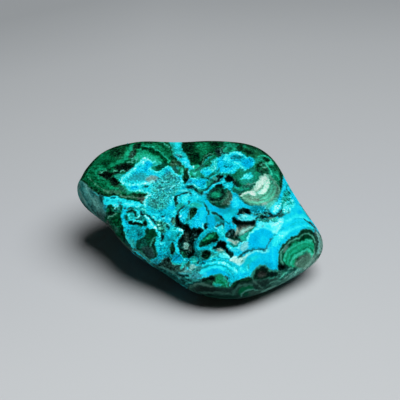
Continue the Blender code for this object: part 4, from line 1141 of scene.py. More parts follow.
# Patch between the arcs and the foot.
FRONT_PATCH_MARKS = (
    (area, .12, 1.8, .2, 1.3, (200,280.5, 206,278.5, 211,276.5, 216,274.5, 221,274.5, 225,277.5, 227,281,
        229.5,285, 228,289, 220,290, 210,288, 204,284)),
    (line, .1, 1.6, .2, 1.4, (202,280, 207,278, 211,277, 216,276.5)),
    (area, .03, 2, .3, 1.3, (207,279, 211,277.5, 216,277, 216,280.5, 213,283, 210,282.5)),
    (line, .3, 1.6, .6, 1, (207.5,280, 209,279)),
    (area, .28, 3, 0, 1.4, (215.5,276.5, 220,276, 224,278.5, 224.5,281, 219,281, 216,280.5)),
    (area, .4, 2, 0, 1.4, (211,276, 216,274, 221,274, 225.5,277.5, 221,276, 216,276)),
    (area, .36, 2.6, 0, 1.4, (212,284, 214,282, 217,281.5, 216.5,286, 213.5,287)),
    (area, .48, .9, .05, 1.3, (216.5,283, 219.5,282, 222.5,282.5, 222.5,285, 219,286.5, 216.5,285.5)),
    (area, .44, 2.2, .05, 1.4, (222.5,280.5, 225.5,281, 227.5,285, 228.5,288, 225,287, 223,284)),
    (line, .2, 1.5, .2, 1.6, (225.5,276.5, 227.5,279.5, 228.5,283)),
    (line, .52, 2, .05, 1, (224.5,282, 226,284)),
)

# Foot: the dark band along the front.
FOOT_MARKS = (
    (area, .17, 1.9, .35, 1.6, (186,288, 194,284, 202,281.5, 208,284.5, 214,287.5, 222,289, 228,288.5,
        231,285.5, 236,281.5, 243,279, 250,277, 258,279, 266,279, 272,276, 278,276, 279,282, 288,282,
        296,277, 300,277, 290,290, 262,300, 230,304, 205,302, 190,294)),
    (area, .14, 1.8, .6, 2, (193,289, 200,286, 208,287.5, 216,289.5, 216,292, 205,292, 198,293)),
    (line, .25, 1.9, .4, 2.2, (190,287.5, 193,285.5, 198,283.5, 203,283, 208,285, 212,287)),
    (line, .22, 1.9, .3, 1.4, (200,284.5, 206,286.5, 211,289)),
    (line, .23, 1.9, .3, 2.6, (199,293.5, 206,292.5, 215,293, 224,293.5, 230,294)),
    (line, .08, 1.8, .3, 2, (194,294, 203,295, 212,296)),
    (line, .14, 2.1, .1, 2.6, (206,297, 216,297, 226,297, 234,297.5)),
    (area, .24, 2, .35, 2, (231,292, 234,289, 237,291, 236,296, 232,296)),
    (line, .28, 2, .3, 2, (233,295, 234.5,290.5, 237.5,287, 242,285, 247,285, 252,285.5)),
    (area, .22, 2.6, 0, 1.4, (238,294, 239,290, 242.5,287.5, 248,286.5, 255,287, 250,288.5, 245,290,
        241.5,293, 240,295.5)),
    (line, .4, 1.9, .3, 1.6, (240.5,295.5, 242.5,292.5, 246,290, 250.5,289, 255,289.5)),
    (area, .24, 1.9, .5, 1.6, (243.5,294, 247,291.5, 254,291, 260,291.5, 262,293, 252,295.5, 246,296)),
    (area, .2, 2.4, 0, 1.6, (242,296, 246,292.5, 250,292, 248,295.5)),
    (line, .3, 1.9, .45, 1.4, (256,290, 260,290.5, 264,290)),
    (area, .06, 2.6, .1, 1.6, (231.5,286, 234,283, 238,280, 244,278.5, 250,277.5, 254,279, 250,282.5,
        242,282.5, 237,285, 234,288)),
    (line, .16, 3, .2, 1.5, (240,281, 245,280, 250,279.5)),
    (line, .16, 3, .1, 1.6, (232,286, 235,284)),
    (area, .14, 1.8, .4, 2, (255,280, 262,279, 270,278, 268,283, 262,287, 257,285)),
    (line, .24, 1.9, .3, 1.4, (255,281, 258.5,284.5, 262.5,288, 266,290)),
    (line, .24, 2, .3, 1.8, (266,287, 268.5,284, 272,281.5, 277,280.5, 281,282)),
    (area, .2, 2, .3, 1.6, (268,286.5, 271,283, 276,282.5, 280,284, 276,286, 270,288.5)),
    (line, .44, 1.8, .4, 1.9, (262,292, 266,290, 271,288, 276,286, 281,285, 285,283, 289,280)),
    (line, .3, 1.8, .35, 2.6, (272,285, 278,283, 284,281, 288,278.5)),
    (line, .34, 1.8, .4, 2.4, (288,281, 294,277.5, 299,273.5, 304,270.5)),
    (area, .21, 1.9, .2, 1.6, (277,277, 278,271, 281,270, 282,274, 280,280, 278,281)),
)

# Brown spot in front of the blue field.
BROWN_SPOT_MARKS = (
    (area, .42, 1.9, .1, 1.4, (251,278, 252,272.5, 255,268, 259,265, 263.5,264.5, 267.5,266.5, 270.5,270,
        272,271, 275,269.5, 278,270, 279,273, 276,278, 264,280, 254,280)),
    (area, .07, 2.5, .2, 1.6, (253,278.5, 254,273.5, 256.5,269.5, 260,267, 263.5,266, 266.5,268, 269,271,
        272.5,272.5, 276,271.5, 279,272, 278,276, 270,277.5, 264,279.5, 257,280)),
    (area, .15, 2.5, 1, 1.8, (257,276, 258.5,272, 262,270.5, 266,271.5, 267.5,274, 264,277, 259,278)),
    (area, .05, 1.8, .1, 1.6, (268.5,272, 272,272.5, 277.5,271.5, 278,275, 272,276.5, 268,276)),
)

# Left flank, in front of the lobe: its stripes, with grey haze that is painted reflection of the floor.
LEFT_FLANK_AND_PAINTED_REFLECTION_MARKS = (
    (area, .32, 1.4, .3, 1.2, (66,178, 82,180, 85,183, 90,188, 95,192, 100,194.5, 103,197, 103.5,204,
        106,209, 107,216, 109,223, 113,232, 70,236)),
    (line, .45, 1.5, .4, 2.6, (84,184, 88,190, 92,197, 95.5,204, 99,211)),
    (line, .4, 1.4, .4, 1.3, (88,187, 92.5,192.5, 96,199, 99,206, 103,213)),
    (line, .2, 1.3, .2, 1.8, (80.5,188, 83,194, 87,201, 91,208, 96,214)),
    (line, .38, 1.5, .5, 1, (82,196, 86,203, 91,210, 96,216)),
    (line, .3, 1.5, .6, 1.2, (78.5,184, 79,191, 81.5,198, 86,205)),
    (line, .16, 1.3, .3, 2.4, (80,200, 85,207, 91,213.5, 97,219, 104,223)),
    (area, .22, 1.2, .1, 2.2, (81,183, 83.5,183, 84,190, 81.5,191)),
    (area, .24, 1.1, .15, 2, (89,189, 92,190.5, 95,194, 94,199, 91,196)),
    (line, .47, 1.1, .1, 2, (94.5,192, 98,195, 101,198)),
    (area, .15, 1.2, .1, 1.6, (98.5,196, 102.5,195.5, 103.5,199, 103.5,205, 101,204, 99,200.5)),
    (line, .36, 1.2, .2, 1, (99,199, 101,203, 104,208)),
    (area, .38, .6, .05, 1.8, (103.5,204.5, 107.5,205, 108.5,209, 106.5,213, 104,211)),
    (area, .22, 1.3, .5, 2.5, (95,211, 103,214, 108,218, 108,224, 98,221)),
)

# Turquoise strip along the front of the lobe.
LOBE_STRIP_MARKS = (
    (area, .71, .9, 0, 1.2, (103.5,197.5, 108,197, 112,196.5, 116,195.5, 120,197, 124,199.5, 130,200.5,
        136,201, 140,203, 144,205.5, 147,210, 152,212.5, 156,217, 160,220.5, 156,220.5, 150,215.5, 146,213,
        143,215, 141,211, 140,215, 136,211, 134,208, 131,208, 128,206.5, 123,205.5, 121,206, 119,205,
        116,207.5, 113,207, 111,204.5, 107,203.5, 104,204)),
    (area, .84, .9, 0, 2, (113,197.5, 117,196.5, 120,198.5, 117,200, 113,199.5)),
    (area, .84, .9, 0, 2, (124,203, 128,201.5, 134,203, 137,205, 131,206, 126,205.5)),
    (line, .28, .7, 0, 1.5, (111,198.5, 112.5,198, 114.5,197.5)),
    (line, .54, .8, 0, 1.6, (106.5,200.5, 108.5,200.5)),
    (area, .36, 1, .1, 2, (119,201, 121.5,202, 121,204, 119,203.5)),
)

# Dark fold at the left front.
LEFT_FOLD_MARKS = (
    (area, .17, 2.7, 0, 1.2, (107.5,204, 112.5,204.5, 114.5,208, 118,208, 121,206, 123,205.5, 121.5,213,
        121,219, 123,226, 124.5,232, 126,238, 129,243.5, 134,249, 128,250, 116,238, 104,222, 106,214)),
    (area, .09, 2.8, .1, 1.5, (108.5,207, 111,205, 112.5,208, 110.5,211, 108.5,210)),
    (area, .36, 1.9, 0, 1.8, (113,209, 117,208, 121,208.5, 121,212, 116,213, 112,211.5)),
    (area, .78, 1, 0, 1.4, (112,205.5, 115,204, 119.5,204, 117,207, 115,209)),
    (line, .9, 1, .3, 1.1, (115,208.5, 117.5,206.5, 119.5,205)),
    (line, .18, 1, .1, 1.6, (120,205, 120.5,207.5)),
    (line, .55, 1.9, .1, .9, (118,209, 118.5,211)),
    (area, .06, 2.3, .2, 1.3, (106,213, 109,212, 114.5,212.5, 112.5,214.5, 108.5,216.5, 106.5,217.5)),
    (line, .52, 2.3, .35, 1.3, (107.5,218.5, 109.5,216.5, 112.5,216, 115.5,214)),
    (area, .15, 3, 0, 2, (111,218, 116,216, 121,216, 121,222, 121.5,226, 116,225, 112.5,222)),
    (area, .22, 2.5, .1, 1.8, (107.5,219, 111,218.5, 113,222, 115,226, 118,231, 114,229.5, 110,224)),
    (area, .25, 2.1, .2, 2, (114,226, 117,227, 119.5,232, 117,233, 114.5,230)),
    (area, .06, 2.8, .1, 1.6, (119.5,225.5, 122.5,225, 124,231, 124.5,236, 126.5,241, 123,239, 120.5,234)),
    (line, .17, 2, .75, 3.2, (107,222, 110.5,228, 114,234, 119,240.5, 125,246, 131,250.5)),
    (line, .16, 1.2, .1, 2, (124,240, 127,243, 131,247.5)),
)

# Column of turquoise to the right of the fold.
LEFT_COLUMN_MARKS = (
    (area, .56, .8, 0, 1.1, (121.5,213, 122,209, 125,207.5, 127.5,210, 128,213, 127.5,217, 127.5,220.5,
        130,223.5, 134,225.5, 139,227, 143,228.5, 147,227.5, 145.5,233, 143,238, 137,239.5, 136,243,
        136.5,249, 139,251, 134,249.5, 129,243.5, 126,238.5, 124.5,232, 123.5,226, 121.5,219)),
    (area, .66, .45, 0, 1.6, (121.5,214, 124,214, 125,219, 128,223.5, 131,226, 129,230, 126,230, 124,226,
        122,220)),
    (area, .66, .5, 0, 1.3, (121.5,210, 124.5,207.5, 127.5,210, 126,212.5, 122,212.5)),
    (area, .15, .8, .1, 1.2, (123.5,208, 125,206.5, 126.5,208, 125,210)),
    (area, .26, 2.3, 0, 1.2, (124.5,215, 128,214.5, 128,220, 126.5,221.5, 124.5,218.5)),
    (area, .46, .8, 0, 2, (137,230, 143,229.5, 143,237, 138,238.5, 136,234.5)),
    (area, .5, 1.3, .05, 2, (129,239, 134,240, 136,246, 134,247.5, 131,243.5)),
    (line, .68, 1.2, .05, 1.4, (125,232.5, 126,237, 128.5,240.5, 131.5,244.5, 134.5,248.5)),
)

# Swirl to the right of the column.
SWIRL_MARKS = (
    (area, .5, 1.3, 0, 1.5, (127.5,213, 129,208.5, 133,207, 137,208.5, 141,205, 146,208, 148,212, 147,218,
        144,222, 141,222.5, 134,221.5, 129,221, 128,217)),
    (line, .2, 1.8, .1, 1.5, (128.5,209, 131,207, 134,208.5)),
    (line, .08, 2.5, .1, 2, (128,212.5, 131,210.5, 133.5,211, 134.5,214, 136,216.5)),
    (line, .8, 1.1, 0, 1.6, (128.5,214.5, 129,218, 130.5,220.5, 134.5,221, 139,220.5, 142.5,222.5)),
    (area, .55, 1.2, 0, 1.4, (130.5,215, 133,213.5, 134.5,216.5, 133,219, 131,218.5)),
    (area, .8, 1, 0, 1.3, (134,209, 137,209, 140,213, 139.5,215.5, 137,213.5)),
    (line, .84, 1.1, .1, 1.1, (136,218, 139,216.5, 140.5,214)),
    (line, .18, 1.8, .1, 1.2, (136.5,219, 139,219, 141,217)),
    (line, .14, 1, .1, 2, (140.5,212, 142,214.5, 145.5,214.5, 148,216.5)),
    (line, .7, 1.4, .05, 1.2, (141,209, 144,210, 146.5,212.5)),
    (line, .09, 2.4, .1, 3, (129.5,222.5, 134,223.5, 138,223.5, 141.5,225)),
    (area, .17, 3, 0, 1.2, (138,224.5, 141,224.5, 142.5,226, 140,227)),
    (area, .08, 2.5, .1, 1.4, (142.5,222, 145.5,219.5, 147.5,221.5, 147,226, 143.5,226.5)),
)

# Pale streams to the right of the swirl.
PALE_STREAMS_MARKS = (
    (area, .68, .7, 0, 1.2, (144.5,210, 150,211, 154,214, 160,214.5, 165,211, 168,215, 164,217, 160,220.5,
        157,220.5, 153,217.5, 149,214, 145.5,213)),
    (line, .8, 1.2, 0, 1.5, (152,216, 155,219, 158,221, 160.5,220)),
    (line, .18, 1.2, .1, 2.4, (149.5,216.5, 152.5,220.5, 156.5,223, 160,222.5)),
    (area, .36, 1.4, 0, 1.6, (141,216.5, 144.5,216, 147,218, 145.5,220, 142,220.5)),
    (line, .86, 1.1, 0, 2.5, (145.5,216, 148,218, 149.5,221, 151.5,224, 154.5,226.5, 157,229.5, 159,233,
        160.5,236.5)),
    (area, .7, .6, 0, 1.4, (148.5,224.5, 151.5,225, 153.5,227, 151.5,229.5, 148.5,228.5, 147,226.5)),
)

# Dark crescent in front of the streams.
CRESCENT_MARKS = (
    (area, .16, 2.5, 0, 1.2, (145,230, 147,228, 150,229.5, 153.5,228, 156,231, 157.5,235.5, 156,239,
        154.5,243, 156,249, 157,256, 155,258.5, 149,259.5, 143,254.5, 139,251, 136.5,248.5, 136,243,
        137,240, 143,238.5, 145.5,233.5)),
    (area, .1, 2.8, 0, 2, (147.5,230.5, 151.5,230.5, 154.5,230, 156.5,234.5, 153,238, 149.5,239.5,
        148,235.5)),
    (area, .26, 2, 0, 2, (137,240.5, 142,240, 146.5,239, 147.5,244.5, 144,248.5, 138,248)),
    (area, .16, 1.3, .35, 2.2, (140.5,247.5, 147,245.5, 151,247, 155,252, 156,257.5, 149,258, 144,253)),
    (line, .45, 2, .1, 1.5, (154.5,237.5, 152.5,240, 151,243, 150.5,246)),
    (line, .3, 1.9, .2, 1.2, (152,247.5, 153.5,251, 154,254)),
    (line, .09, 2.6, .1, 2, (154,240, 152.5,244.5, 155,250, 156.5,256.5)),
    (line, .38, 1.8, .2, 2.6, (134.5,249.5, 139,251.5, 143,254.5, 146.5,258, 150,261.5)),
    (line, .12, 1.6, .3, 1.8, (133,252, 139,256, 145,261, 150,265)),
)

# Second column of turquoise, with a narrow cavity.
SECOND_COLUMN_MARKS = (
    (area, .58, .7, 0, 1.2, (157,236, 160,236, 160.5,241, 162.5,243.5, 165.5,243, 168,241, 170.5,244,
        170.5,251.5, 168,256, 164.5,260, 158.5,261, 157,256, 156,249, 155,243, 156,239)),
    (area, .68, .9, 0, 1.6, (157,236, 160,237, 160,241, 158.5,246, 158,251, 157,248, 155.5,242)),
    (area, .6, .9, 0, 2, (163,246, 168.5,245, 169,251, 164,252)),
    (line, .48, .6, 0, 1.4, (161,246, 161,251, 162,257)),
    (area, .5, .5, 0, 2, (157.5,253, 161,254, 162,259.5, 158.5,260.5)),
    # Painted shade in the narrow cavity.
    (area, .11, 1, .1, 1.2, (160.5,232.5, 163.5,234, 164,238, 162.5,240.5, 161,243, 160,240.5, 161.5,238)),
    (line, .86, 1.1, .05, 1.2, (159.5,241.5, 161,244, 163.5,243.5, 165,242)),
    (area, .42, .8, .05, 1.8, (151,259.5, 158,259, 160,262, 157,265, 152.5,263)),
    (area, .13, 1.8, .35, 1.8, (160,262, 166,257.5, 170.5,258, 172,263, 178,264.5, 184,263, 186,268,
        182,272, 170,272, 158,266)),
    (line, .3, 1.6, .3, 1.8, (155,265.5, 163,267.5, 171,271.5, 178,276)),
)

# Blue and green from the druse forward to the cleft.
DRUSE_FRONT_MARKS = (
    (area, .64, .7, 0, 1.5, (170,200, 175,195, 183,187, 195,191, 203,196, 206,203, 213,213, 214,228,
        203,231, 190,230, 180,226, 172,222, 165,221.5, 162,217, 163,211, 169,206)),
    (area, .74, .9, 0, 2, (169.5,197, 173.5,194, 174.5,200, 172.5,206, 169,204)),
    (area, .64, .2, 0, 2, (168,207, 173,205, 176,208, 172,210, 167,210)),
    (area, .76, 1.1, 0, 2, (181,196, 187,194.5, 190,198, 187,202, 181.5,203)),
    (area, .72, .7, 0, 2, (191,191, 194,191, 198,195.5, 199,200.5, 194,201, 191,197)),
    (line, .78, 1.2, .1, 1.4, (181,190.5, 185,190, 189,191)),
    (line, .8, .9, 0, 1.6, (181,187, 182,184.5, 184,185.5)),
    (line, .16, 1.4, .1, 1.5, (190,191.5, 187,192.5, 183,193.5, 179,195, 175.5,197)),
    (line, .14, 1.8, .1, 2.4, (175.5,197, 175,200, 177,203, 176,205.5)),
    (line, .8, 1, .1, 1.1, (178,197, 177.5,200, 179,203)),
    (line, .2, 1, .1, 1.4, (190.5,193, 191,195.5)),
    (line, .78, 1.3, .1, 1.1, (188,195, 189.5,193, 190,191.5)),
    (area, .22, 1.3, .1, 1.2, (188.5,201, 190,200.5, 190.5,203, 188.5,203.5)),
    (line, .42, 1.2, 0, 1.5, (198,200.5, 201,202.5, 204,202.5)),
    (area, .54, 1.7, 0, 1.6, (176,207, 180,203.5, 184.5,203, 182,206, 179.5,209, 176.5,211)),
    (area, .6, 1.6, 0, 1.5, (185,206, 190,203, 196,202.5, 202,204.5, 203,207, 199,208, 193,206.5, 189,207)),
    (line, .2, 1.3, .1, 1.8, (178,213, 179,210, 181.5,208, 184.5,206)),
    (line, .24, 1.4, .1, 1.7, (204,204.5, 206.5,207.5, 208,211, 208.5,214)),
)

# Dark blades behind the cleft.
BLADES_MARKS = (
    (area, .64, .6, 0, 1.1, (179,218, 180.5,212.5, 184,209, 187.5,205.5, 190,205, 189,209, 188,213, 188,218,
        185,222.5, 182.5,224.5, 180,223)),
    (area, .7, .5, 0, 1.8, (180.5,216, 184,211, 186,211, 185.5,216, 183,221, 180.5,221)),
    (line, .48, 1.3, 0, 1.1, (181,212, 184,210, 187.5,206.5)),
    (area, .4, 1.2, 0, 1.6, (185,219, 188.5,216.5, 189.5,220, 187,223, 185,222.5)),
    (area, .64, .3, 0, 1.1, (198,209.5, 202,206.5, 206,208, 207,213, 206,218, 204.5,223, 201,227, 196,228.5,
        191,230, 189.5,227, 191,223, 193.5,219, 196.5,214.5)),
    (area, .7, .6, 0, 1.8, (201,209, 205,211, 203.5,217, 199,221.5, 196,220, 200,214)),
    (area, .52, .2, 0, 1.6, (197,213, 199,211.5, 199.5,215, 197.5,216.5)),
    (area, .6, .5, 0, 1.6, (190.5,224, 194,221, 196,224, 194,228.5, 191,229.5)),
    (area, .1, 2.8, .1, 1.2, (190.5,209, 192,207.5, 198,208, 196.5,211.5, 195,215, 192.5,217.5, 191,219.5,
        189.5,218, 189.5,213.5)),
    (line, .2, 2.9, .2, 1.2, (192,209.5, 191.5,213, 190.5,216.5)),
    (line, .36, 1.6, .1, 1, (189.5,209, 188.5,213.5, 188.5,218.5)),
    (area, .58, .2, 0, 1.8, (207,215, 212,213.5, 216,219, 215,226, 210,229, 206.5,224, 207,219)),
    (line, .46, .5, 0, 1.5, (206.5,217, 206.5,221, 208,225)),
)

# Specks and small cavities to the left of the cleft.
SPECKS_MARKS = (
    (area, .66, .5, 0, 1.4, (164,216.5, 168,215, 171.5,217, 171.5,221, 168,222.5, 165,221)),
    (area, .28, .7, .1, 1.2, (161.5,216, 163.5,215, 164.5,217, 162.5,218)),
    (line, .9, 1, .1, 1.1, (162.5,219, 164,218.5)),
    (line, .9, 1, .1, 1.2, (169,218, 170.5,219.5)),
    (area, .42, 1.9, .05, 1.6, (156,222, 160,220.5, 165,221.5, 167,224, 166,228, 165,233, 161,233,
        158.5,230, 155.5,226)),
    (area, .34, .9, .05, 1.4, (166,222.5, 169.5,223.5, 170,228, 167.5,229, 166,226)),
    (line, .88, 1.1, .1, 1.2, (166.5,223, 169,223.5, 170.5,225.5)),
    (line, .8, 1.5, .1, 1.3, (158,224.5, 159.5,225)),
    (line, .84, 1.5, .1, 1.3, (159.5,228, 160.5,229.5)),
    (area, .5, 2.2, .25, 1.3, (172,219, 174,217.5, 176,220, 175,224.5, 172.5,224.5)),
    (area, .24, 1.8, .1, 1.3, (170.5,221, 172,217.5, 174.5,216.5, 173,219, 172,223)),
    (area, .74, 1.2, 0, 1.3, (169.5,229.5, 171.5,226.5, 175,226, 178.5,228.5, 180,231, 176,232,
        171.5,231.5)),
    (area, .5, 1.7, 0, 1.4, (173,229, 175,227.5, 177,229, 175,230.5)),
)

# Teal with a blade and a ball, along the left of the cleft.
CLEFT_LEFT_MARKS = (
    (area, .54, .9, 0, 1.4, (164.5,232, 170,231.5, 176,232, 181,231.5, 184,233.5, 182,236.5, 178.5,240,
        177.5,246, 179.5,252, 183.5,257, 187,259, 187,262.5, 182,262.5, 176,264.5, 171.5,262, 170.5,258,
        172,255, 175,253, 175,247, 173.5,243, 171,240, 168,243, 165,243.5, 165.5,238)),
    (area, .62, .6, 0, 1.6, (166,232, 170,231.5, 171,236, 168,240, 166,238)),
    (line, .88, 1.1, .05, 1.5, (179,229, 181.5,229, 183,231.5, 183.5,234, 181.5,235.5)),
    (line, .36, 1.6, 0, 1.6, (180.5,233, 177,236.5, 174.5,240.5)),
    (line, .7, .6, 0, 2.5, (179,236.5, 176.5,239.5, 175.5,243, 176.5,248, 179,253, 182.5,257, 186,260)),
    (line, .84, 1, .1, 1, (183.5,259.5, 186,260.5)),
    (area, .62, .3, 0, 1.3, (171.5,257, 173.5,255, 177,254, 180,257, 184,260.5, 182,262.5, 178,263, 174,263,
        171.5,260.5)),
    (line, .52, 1.6, 0, 1.2, (171,258, 171.5,262, 175,264.5, 180,264)),
    (area, .12, 2.7, .1, 1.3, (171,242.5, 173,242, 174,246, 175,251, 173,254.5, 170.5,254.5, 170.5,248)),
)

# Cleft: the deep hollow to the left of the middle, dark with painted shade.
CLEFT_MARKS = (
    (area, .06, 1.8, .1, 1.1, (175,216, 176.5,214, 179,214, 179,219, 180,222.5, 182.5,224.5, 185,224,
        188,225, 189.5,228, 191.5,230, 193,228, 196,228.5, 199.5,227, 202,228.5, 203.5,230.5, 200.5,233.5,
        198,237.5, 195,240.5, 193.5,245.5, 194,250, 195.5,254, 192,257, 187,258.5, 182,256.5, 179,251,
        177.5,245.5, 178.5,240, 181.5,236, 184,233, 183.5,230, 180,228, 176.5,226, 175,222)),
    (line, .4, 2, .2, .9, (175.5,225.5, 178,227, 180.5,228)),
    (area, .17, 2, .6, 2.2, (183.5,233, 187,232, 189.5,235, 190,240, 186,241.5, 183.5,238.5)),
    (area, .16, 1.5, 0, 1.6, (179.5,241, 182,237.5, 183.5,241, 182.5,246, 181,250, 179,246.5)),
    (area, .55, 1.7, .55, 1.2, (183,245, 184,242, 186.5,242, 189,243.5, 188.5,247, 187.5,250, 185.5,250,
        183.5,247.5)),
    (line, .66, 1.6, .4, .9, (184,244.5, 186.5,244, 188,245.5)),
    (area, .26, 2, .8, 1.6, (189,246.5, 191,246.5, 191,251.5, 189,251.5)),
    (area, .28, 2.3, 0, 1.8, (180.5,250, 183,251, 185,255, 188.5,256.5, 186.5,258.5, 182.5,257)),
    (line, .38, 2, .4, .9, (186.5,251.5, 187.5,253, 188,255)),
    (area, .12, 1.4, .3, 1.8, (191,230.5, 196,230, 198,234, 195,238, 191.5,237)),
    (line, .28, 1.8, .2, 1, (197.5,229.5, 200,230.5, 201.5,230)),
    (line, .88, 1.1, .1, 1.3, (203,223.5, 202.5,226.5, 203,229)),
    (area, .12, 1.4, .1, 1.4, (204,223.5, 206.5,223, 207.5,226, 206.5,229.5, 204.5,229)),
)

# Green lens and the layers round it, to the right of the cleft.
CLEFT_RIGHT_MARKS = (
    (area, .54, .7, 0, 1.3, (203.5,233.5, 209,229.5, 216,228.5, 218,231, 213,231.5, 207,234.5, 202,239,
        198,243.5, 196,249, 193.5,247.5, 194.5,241.5, 199,237)),
    (area, .15, 2.9, 0, 1.1, (198.5,246, 201,241, 205,236.5, 210,233, 214.5,232, 217.5,234, 219.5,237.5,
        217,240.5, 212,243, 206,245.5, 200.5,247)),
    (area, .27, 3, 0, 1.8, (202.5,241, 205.5,237, 209.5,234.5, 213.5,234, 212.5,237, 208,240, 204,242)),
    (area, .33, 3, 0, 1.6, (205,239, 207.5,236.5, 210,236.5, 208.5,239)),
    (area, .33, 2.2, 0, 1.4, (198.5,244.5, 200.5,240.5, 203,239, 202,242.5, 200,245.5)),
    (line, .07, 2.9, .1, 1.6, (202,245.5, 207,244, 212,242, 216.5,239.5)),
    (area, .48, 1.1, 0, 1.5, (196,249, 199,248, 203,248.5, 201.5,252, 201,257, 203.5,261, 199,264,
        197.5,258, 195,254)),
    (line, .62, .7, 0, 2.2, (198.5,249, 204,248, 209.5,247, 214,245, 217,242)),
    (area, .24, 1.2, .1, 1.4, (195,250, 198,250.5, 198.5,255.5, 196,256.5, 194.5,253.5)),
    (area, .09, 2.8, .1, 1.2, (201.5,253, 204,250.5, 208,250, 211.5,251.5, 211,255, 208,259, 204.5,260,
        202,257)),
    (line, .36, 1.7, .1, 1, (201,251.5, 201,256, 203,260)),
    (area, .58, 1.7, 0, 1.3, (189,259.5, 192,257.5, 195,256.5, 196.5,260, 196,264.5, 193,263.5, 191,261.5)),
    (area, .12, 1.4, .2, 1.2, (196.5,261, 198,260.5, 198.5,264, 196.5,264)),
    (area, .19, 2.2, .1, 1.4, (186,262.5, 189,261, 190.5,264, 188.5,268, 185.5,266.5)),
    (area, .58, 1.3, 0, 1.4, (182.5,263, 185,262.5, 184.5,266.5, 181,270, 179.5,267.5)),
    (area, .62, 1.5, .45, 1.4, (188.5,268.5, 190.5,264.5, 193.5,265, 197,266.5, 194,269.5, 190,270.5)),
)

# Fine veins and pale blue along the right edge.
RIGHT_VEINS_MARKS = (
    (area, .58, 1.7, 0, 1.6, (283,192, 288,190, 291,197, 292,203, 288,207, 283,208, 280,204, 282,198)),
    (area, .82, 1.2, 0, 1.4, (282,208, 286,202, 291,199, 295,201, 295,206, 290,209.5, 286,213.5, 283,214)),
    (area, .78, 1, 0, 1.4, (279,200, 281,204, 279,209, 276,213, 272.5,214, 273,209, 276,204)),
    (line, .28, 1.5, 0, 1, (286.5,180, 288.5,183.5, 286.5,187, 287.5,190.5, 290,193.5)),
    (line, .3, 1.5, 0, .8, (288,185, 291,188, 290.5,191)),
    (line, .36, 1.8, 0, 1, (283.5,193, 287,196, 286,199, 284,202, 282,205.5)),
    (line, .34, 1.8, 0, .8, (285,201, 288,199.5, 290,202, 287.5,204.5, 284.5,206.5)),
    (line, .4, 1.5, 0, .8, (289,194, 293,191.5, 296,194.5)),
    (line, .36, 1.6, 0, .7, (290,201, 292,205, 294,202.5)),
    (line, .32, 1.6, 0, .9, (282,206, 281,210, 283,214, 287,213)),
    (line, .78, 1.4, 0, .8, (284.5,197, 288.5,197.5, 292,197)),
    (line, .35, 1.2, 0, .9, (296,195, 300,201.5, 304,207.5, 308.5,213.5)),
    (line, .8, .8, 0, 2, (287,221, 296,217, 304,217, 309,221)),
    (line, .78, .8, 0, 1.6, (284,235, 291,230, 298,227, 306,225, 312,228)),
    (line, .6, 1, 0, 1, (286,228, 294,223.5, 302,221.5, 308,223)),
    (shade, .09, 0, 0, 4, (270,221, 284,219, 292,222, 289,233, 281,238, 272,233)),
)

# Fine rings and the grey heart of the large eye.
LARGE_EYE_RINGS_MARKS = (
    (line, .54, 2.6, 0, .9, (284.5,262, 284,256, 287,250.5, 291,246.5, 295,244, 299,243, 303,241.5,
        307,240.5, 311,243)),
    (line, .4, 2.9, 0, .8, (286,262.5, 286,256.5, 289,251.5, 293,248, 297,245.5, 301,244.5, 305,243,
        309,243.5)),
    (line, .53, 2.6, 0, .9, (288,263, 288,257.5, 291,253, 295,249.5, 300,247.5, 304,245, 308,244.5,
        311,247.5)),
    (line, .4, 2.9, 0, .8, (290,263.5, 289.5,258.5, 293,254, 297,251, 302,249, 306,247, 310,249)),
    (line, .55, 2.4, 0, .9, (291.5,263.5, 291.5,259.5, 295,255.5, 299,253, 303,250.5, 307,249, 310,252)),
    (line, .42, 2.9, 0, .8, (293.5,263, 294,259.5, 297,257, 301,255, 305,252)),
    (area, .32, 2.3, .5, 2.5, (296,266, 298,260.5, 303,256, 308,254, 311,258, 308,264, 303,268)),
    (line, .5, 2.2, .5, .7, (297,264, 300,260, 303,258)),
    (line, .5, 2.2, .6, .8, (304,268, 309,262.5, 312.5,256, 314.5,250)),
    (line, .38, 2.2, .4, .8, (306.5,268, 312,262, 316,255.5, 318,249)),
)

# Painted reflection of the lamp: the palest white and silver in the chip.
CHIP_PAINTED_REFLECTION_MARKS = (
    (area, .88, 2.6, .55, 1.8, (254,190, 257,184, 260.5,178.5, 264,175, 267,176, 268,179.5, 264,183.5,
        260,188, 256.5,191.5)),
    (area, .97, 2.9, .2, 1.4, (259,193.5, 262.5,190, 265.5,184, 268,178.5, 270,179.5, 269.5,186, 267,191,
        262.5,194.5)),
    (area, .97, 2.8, .5, 1.2, (247.5,191.3, 253,190.5, 256,195.5, 251,194.5)),
    (line, .93, 2.8, .6, 1.2, (241.5,195.8, 244.5,193, 248,191.3)),
)

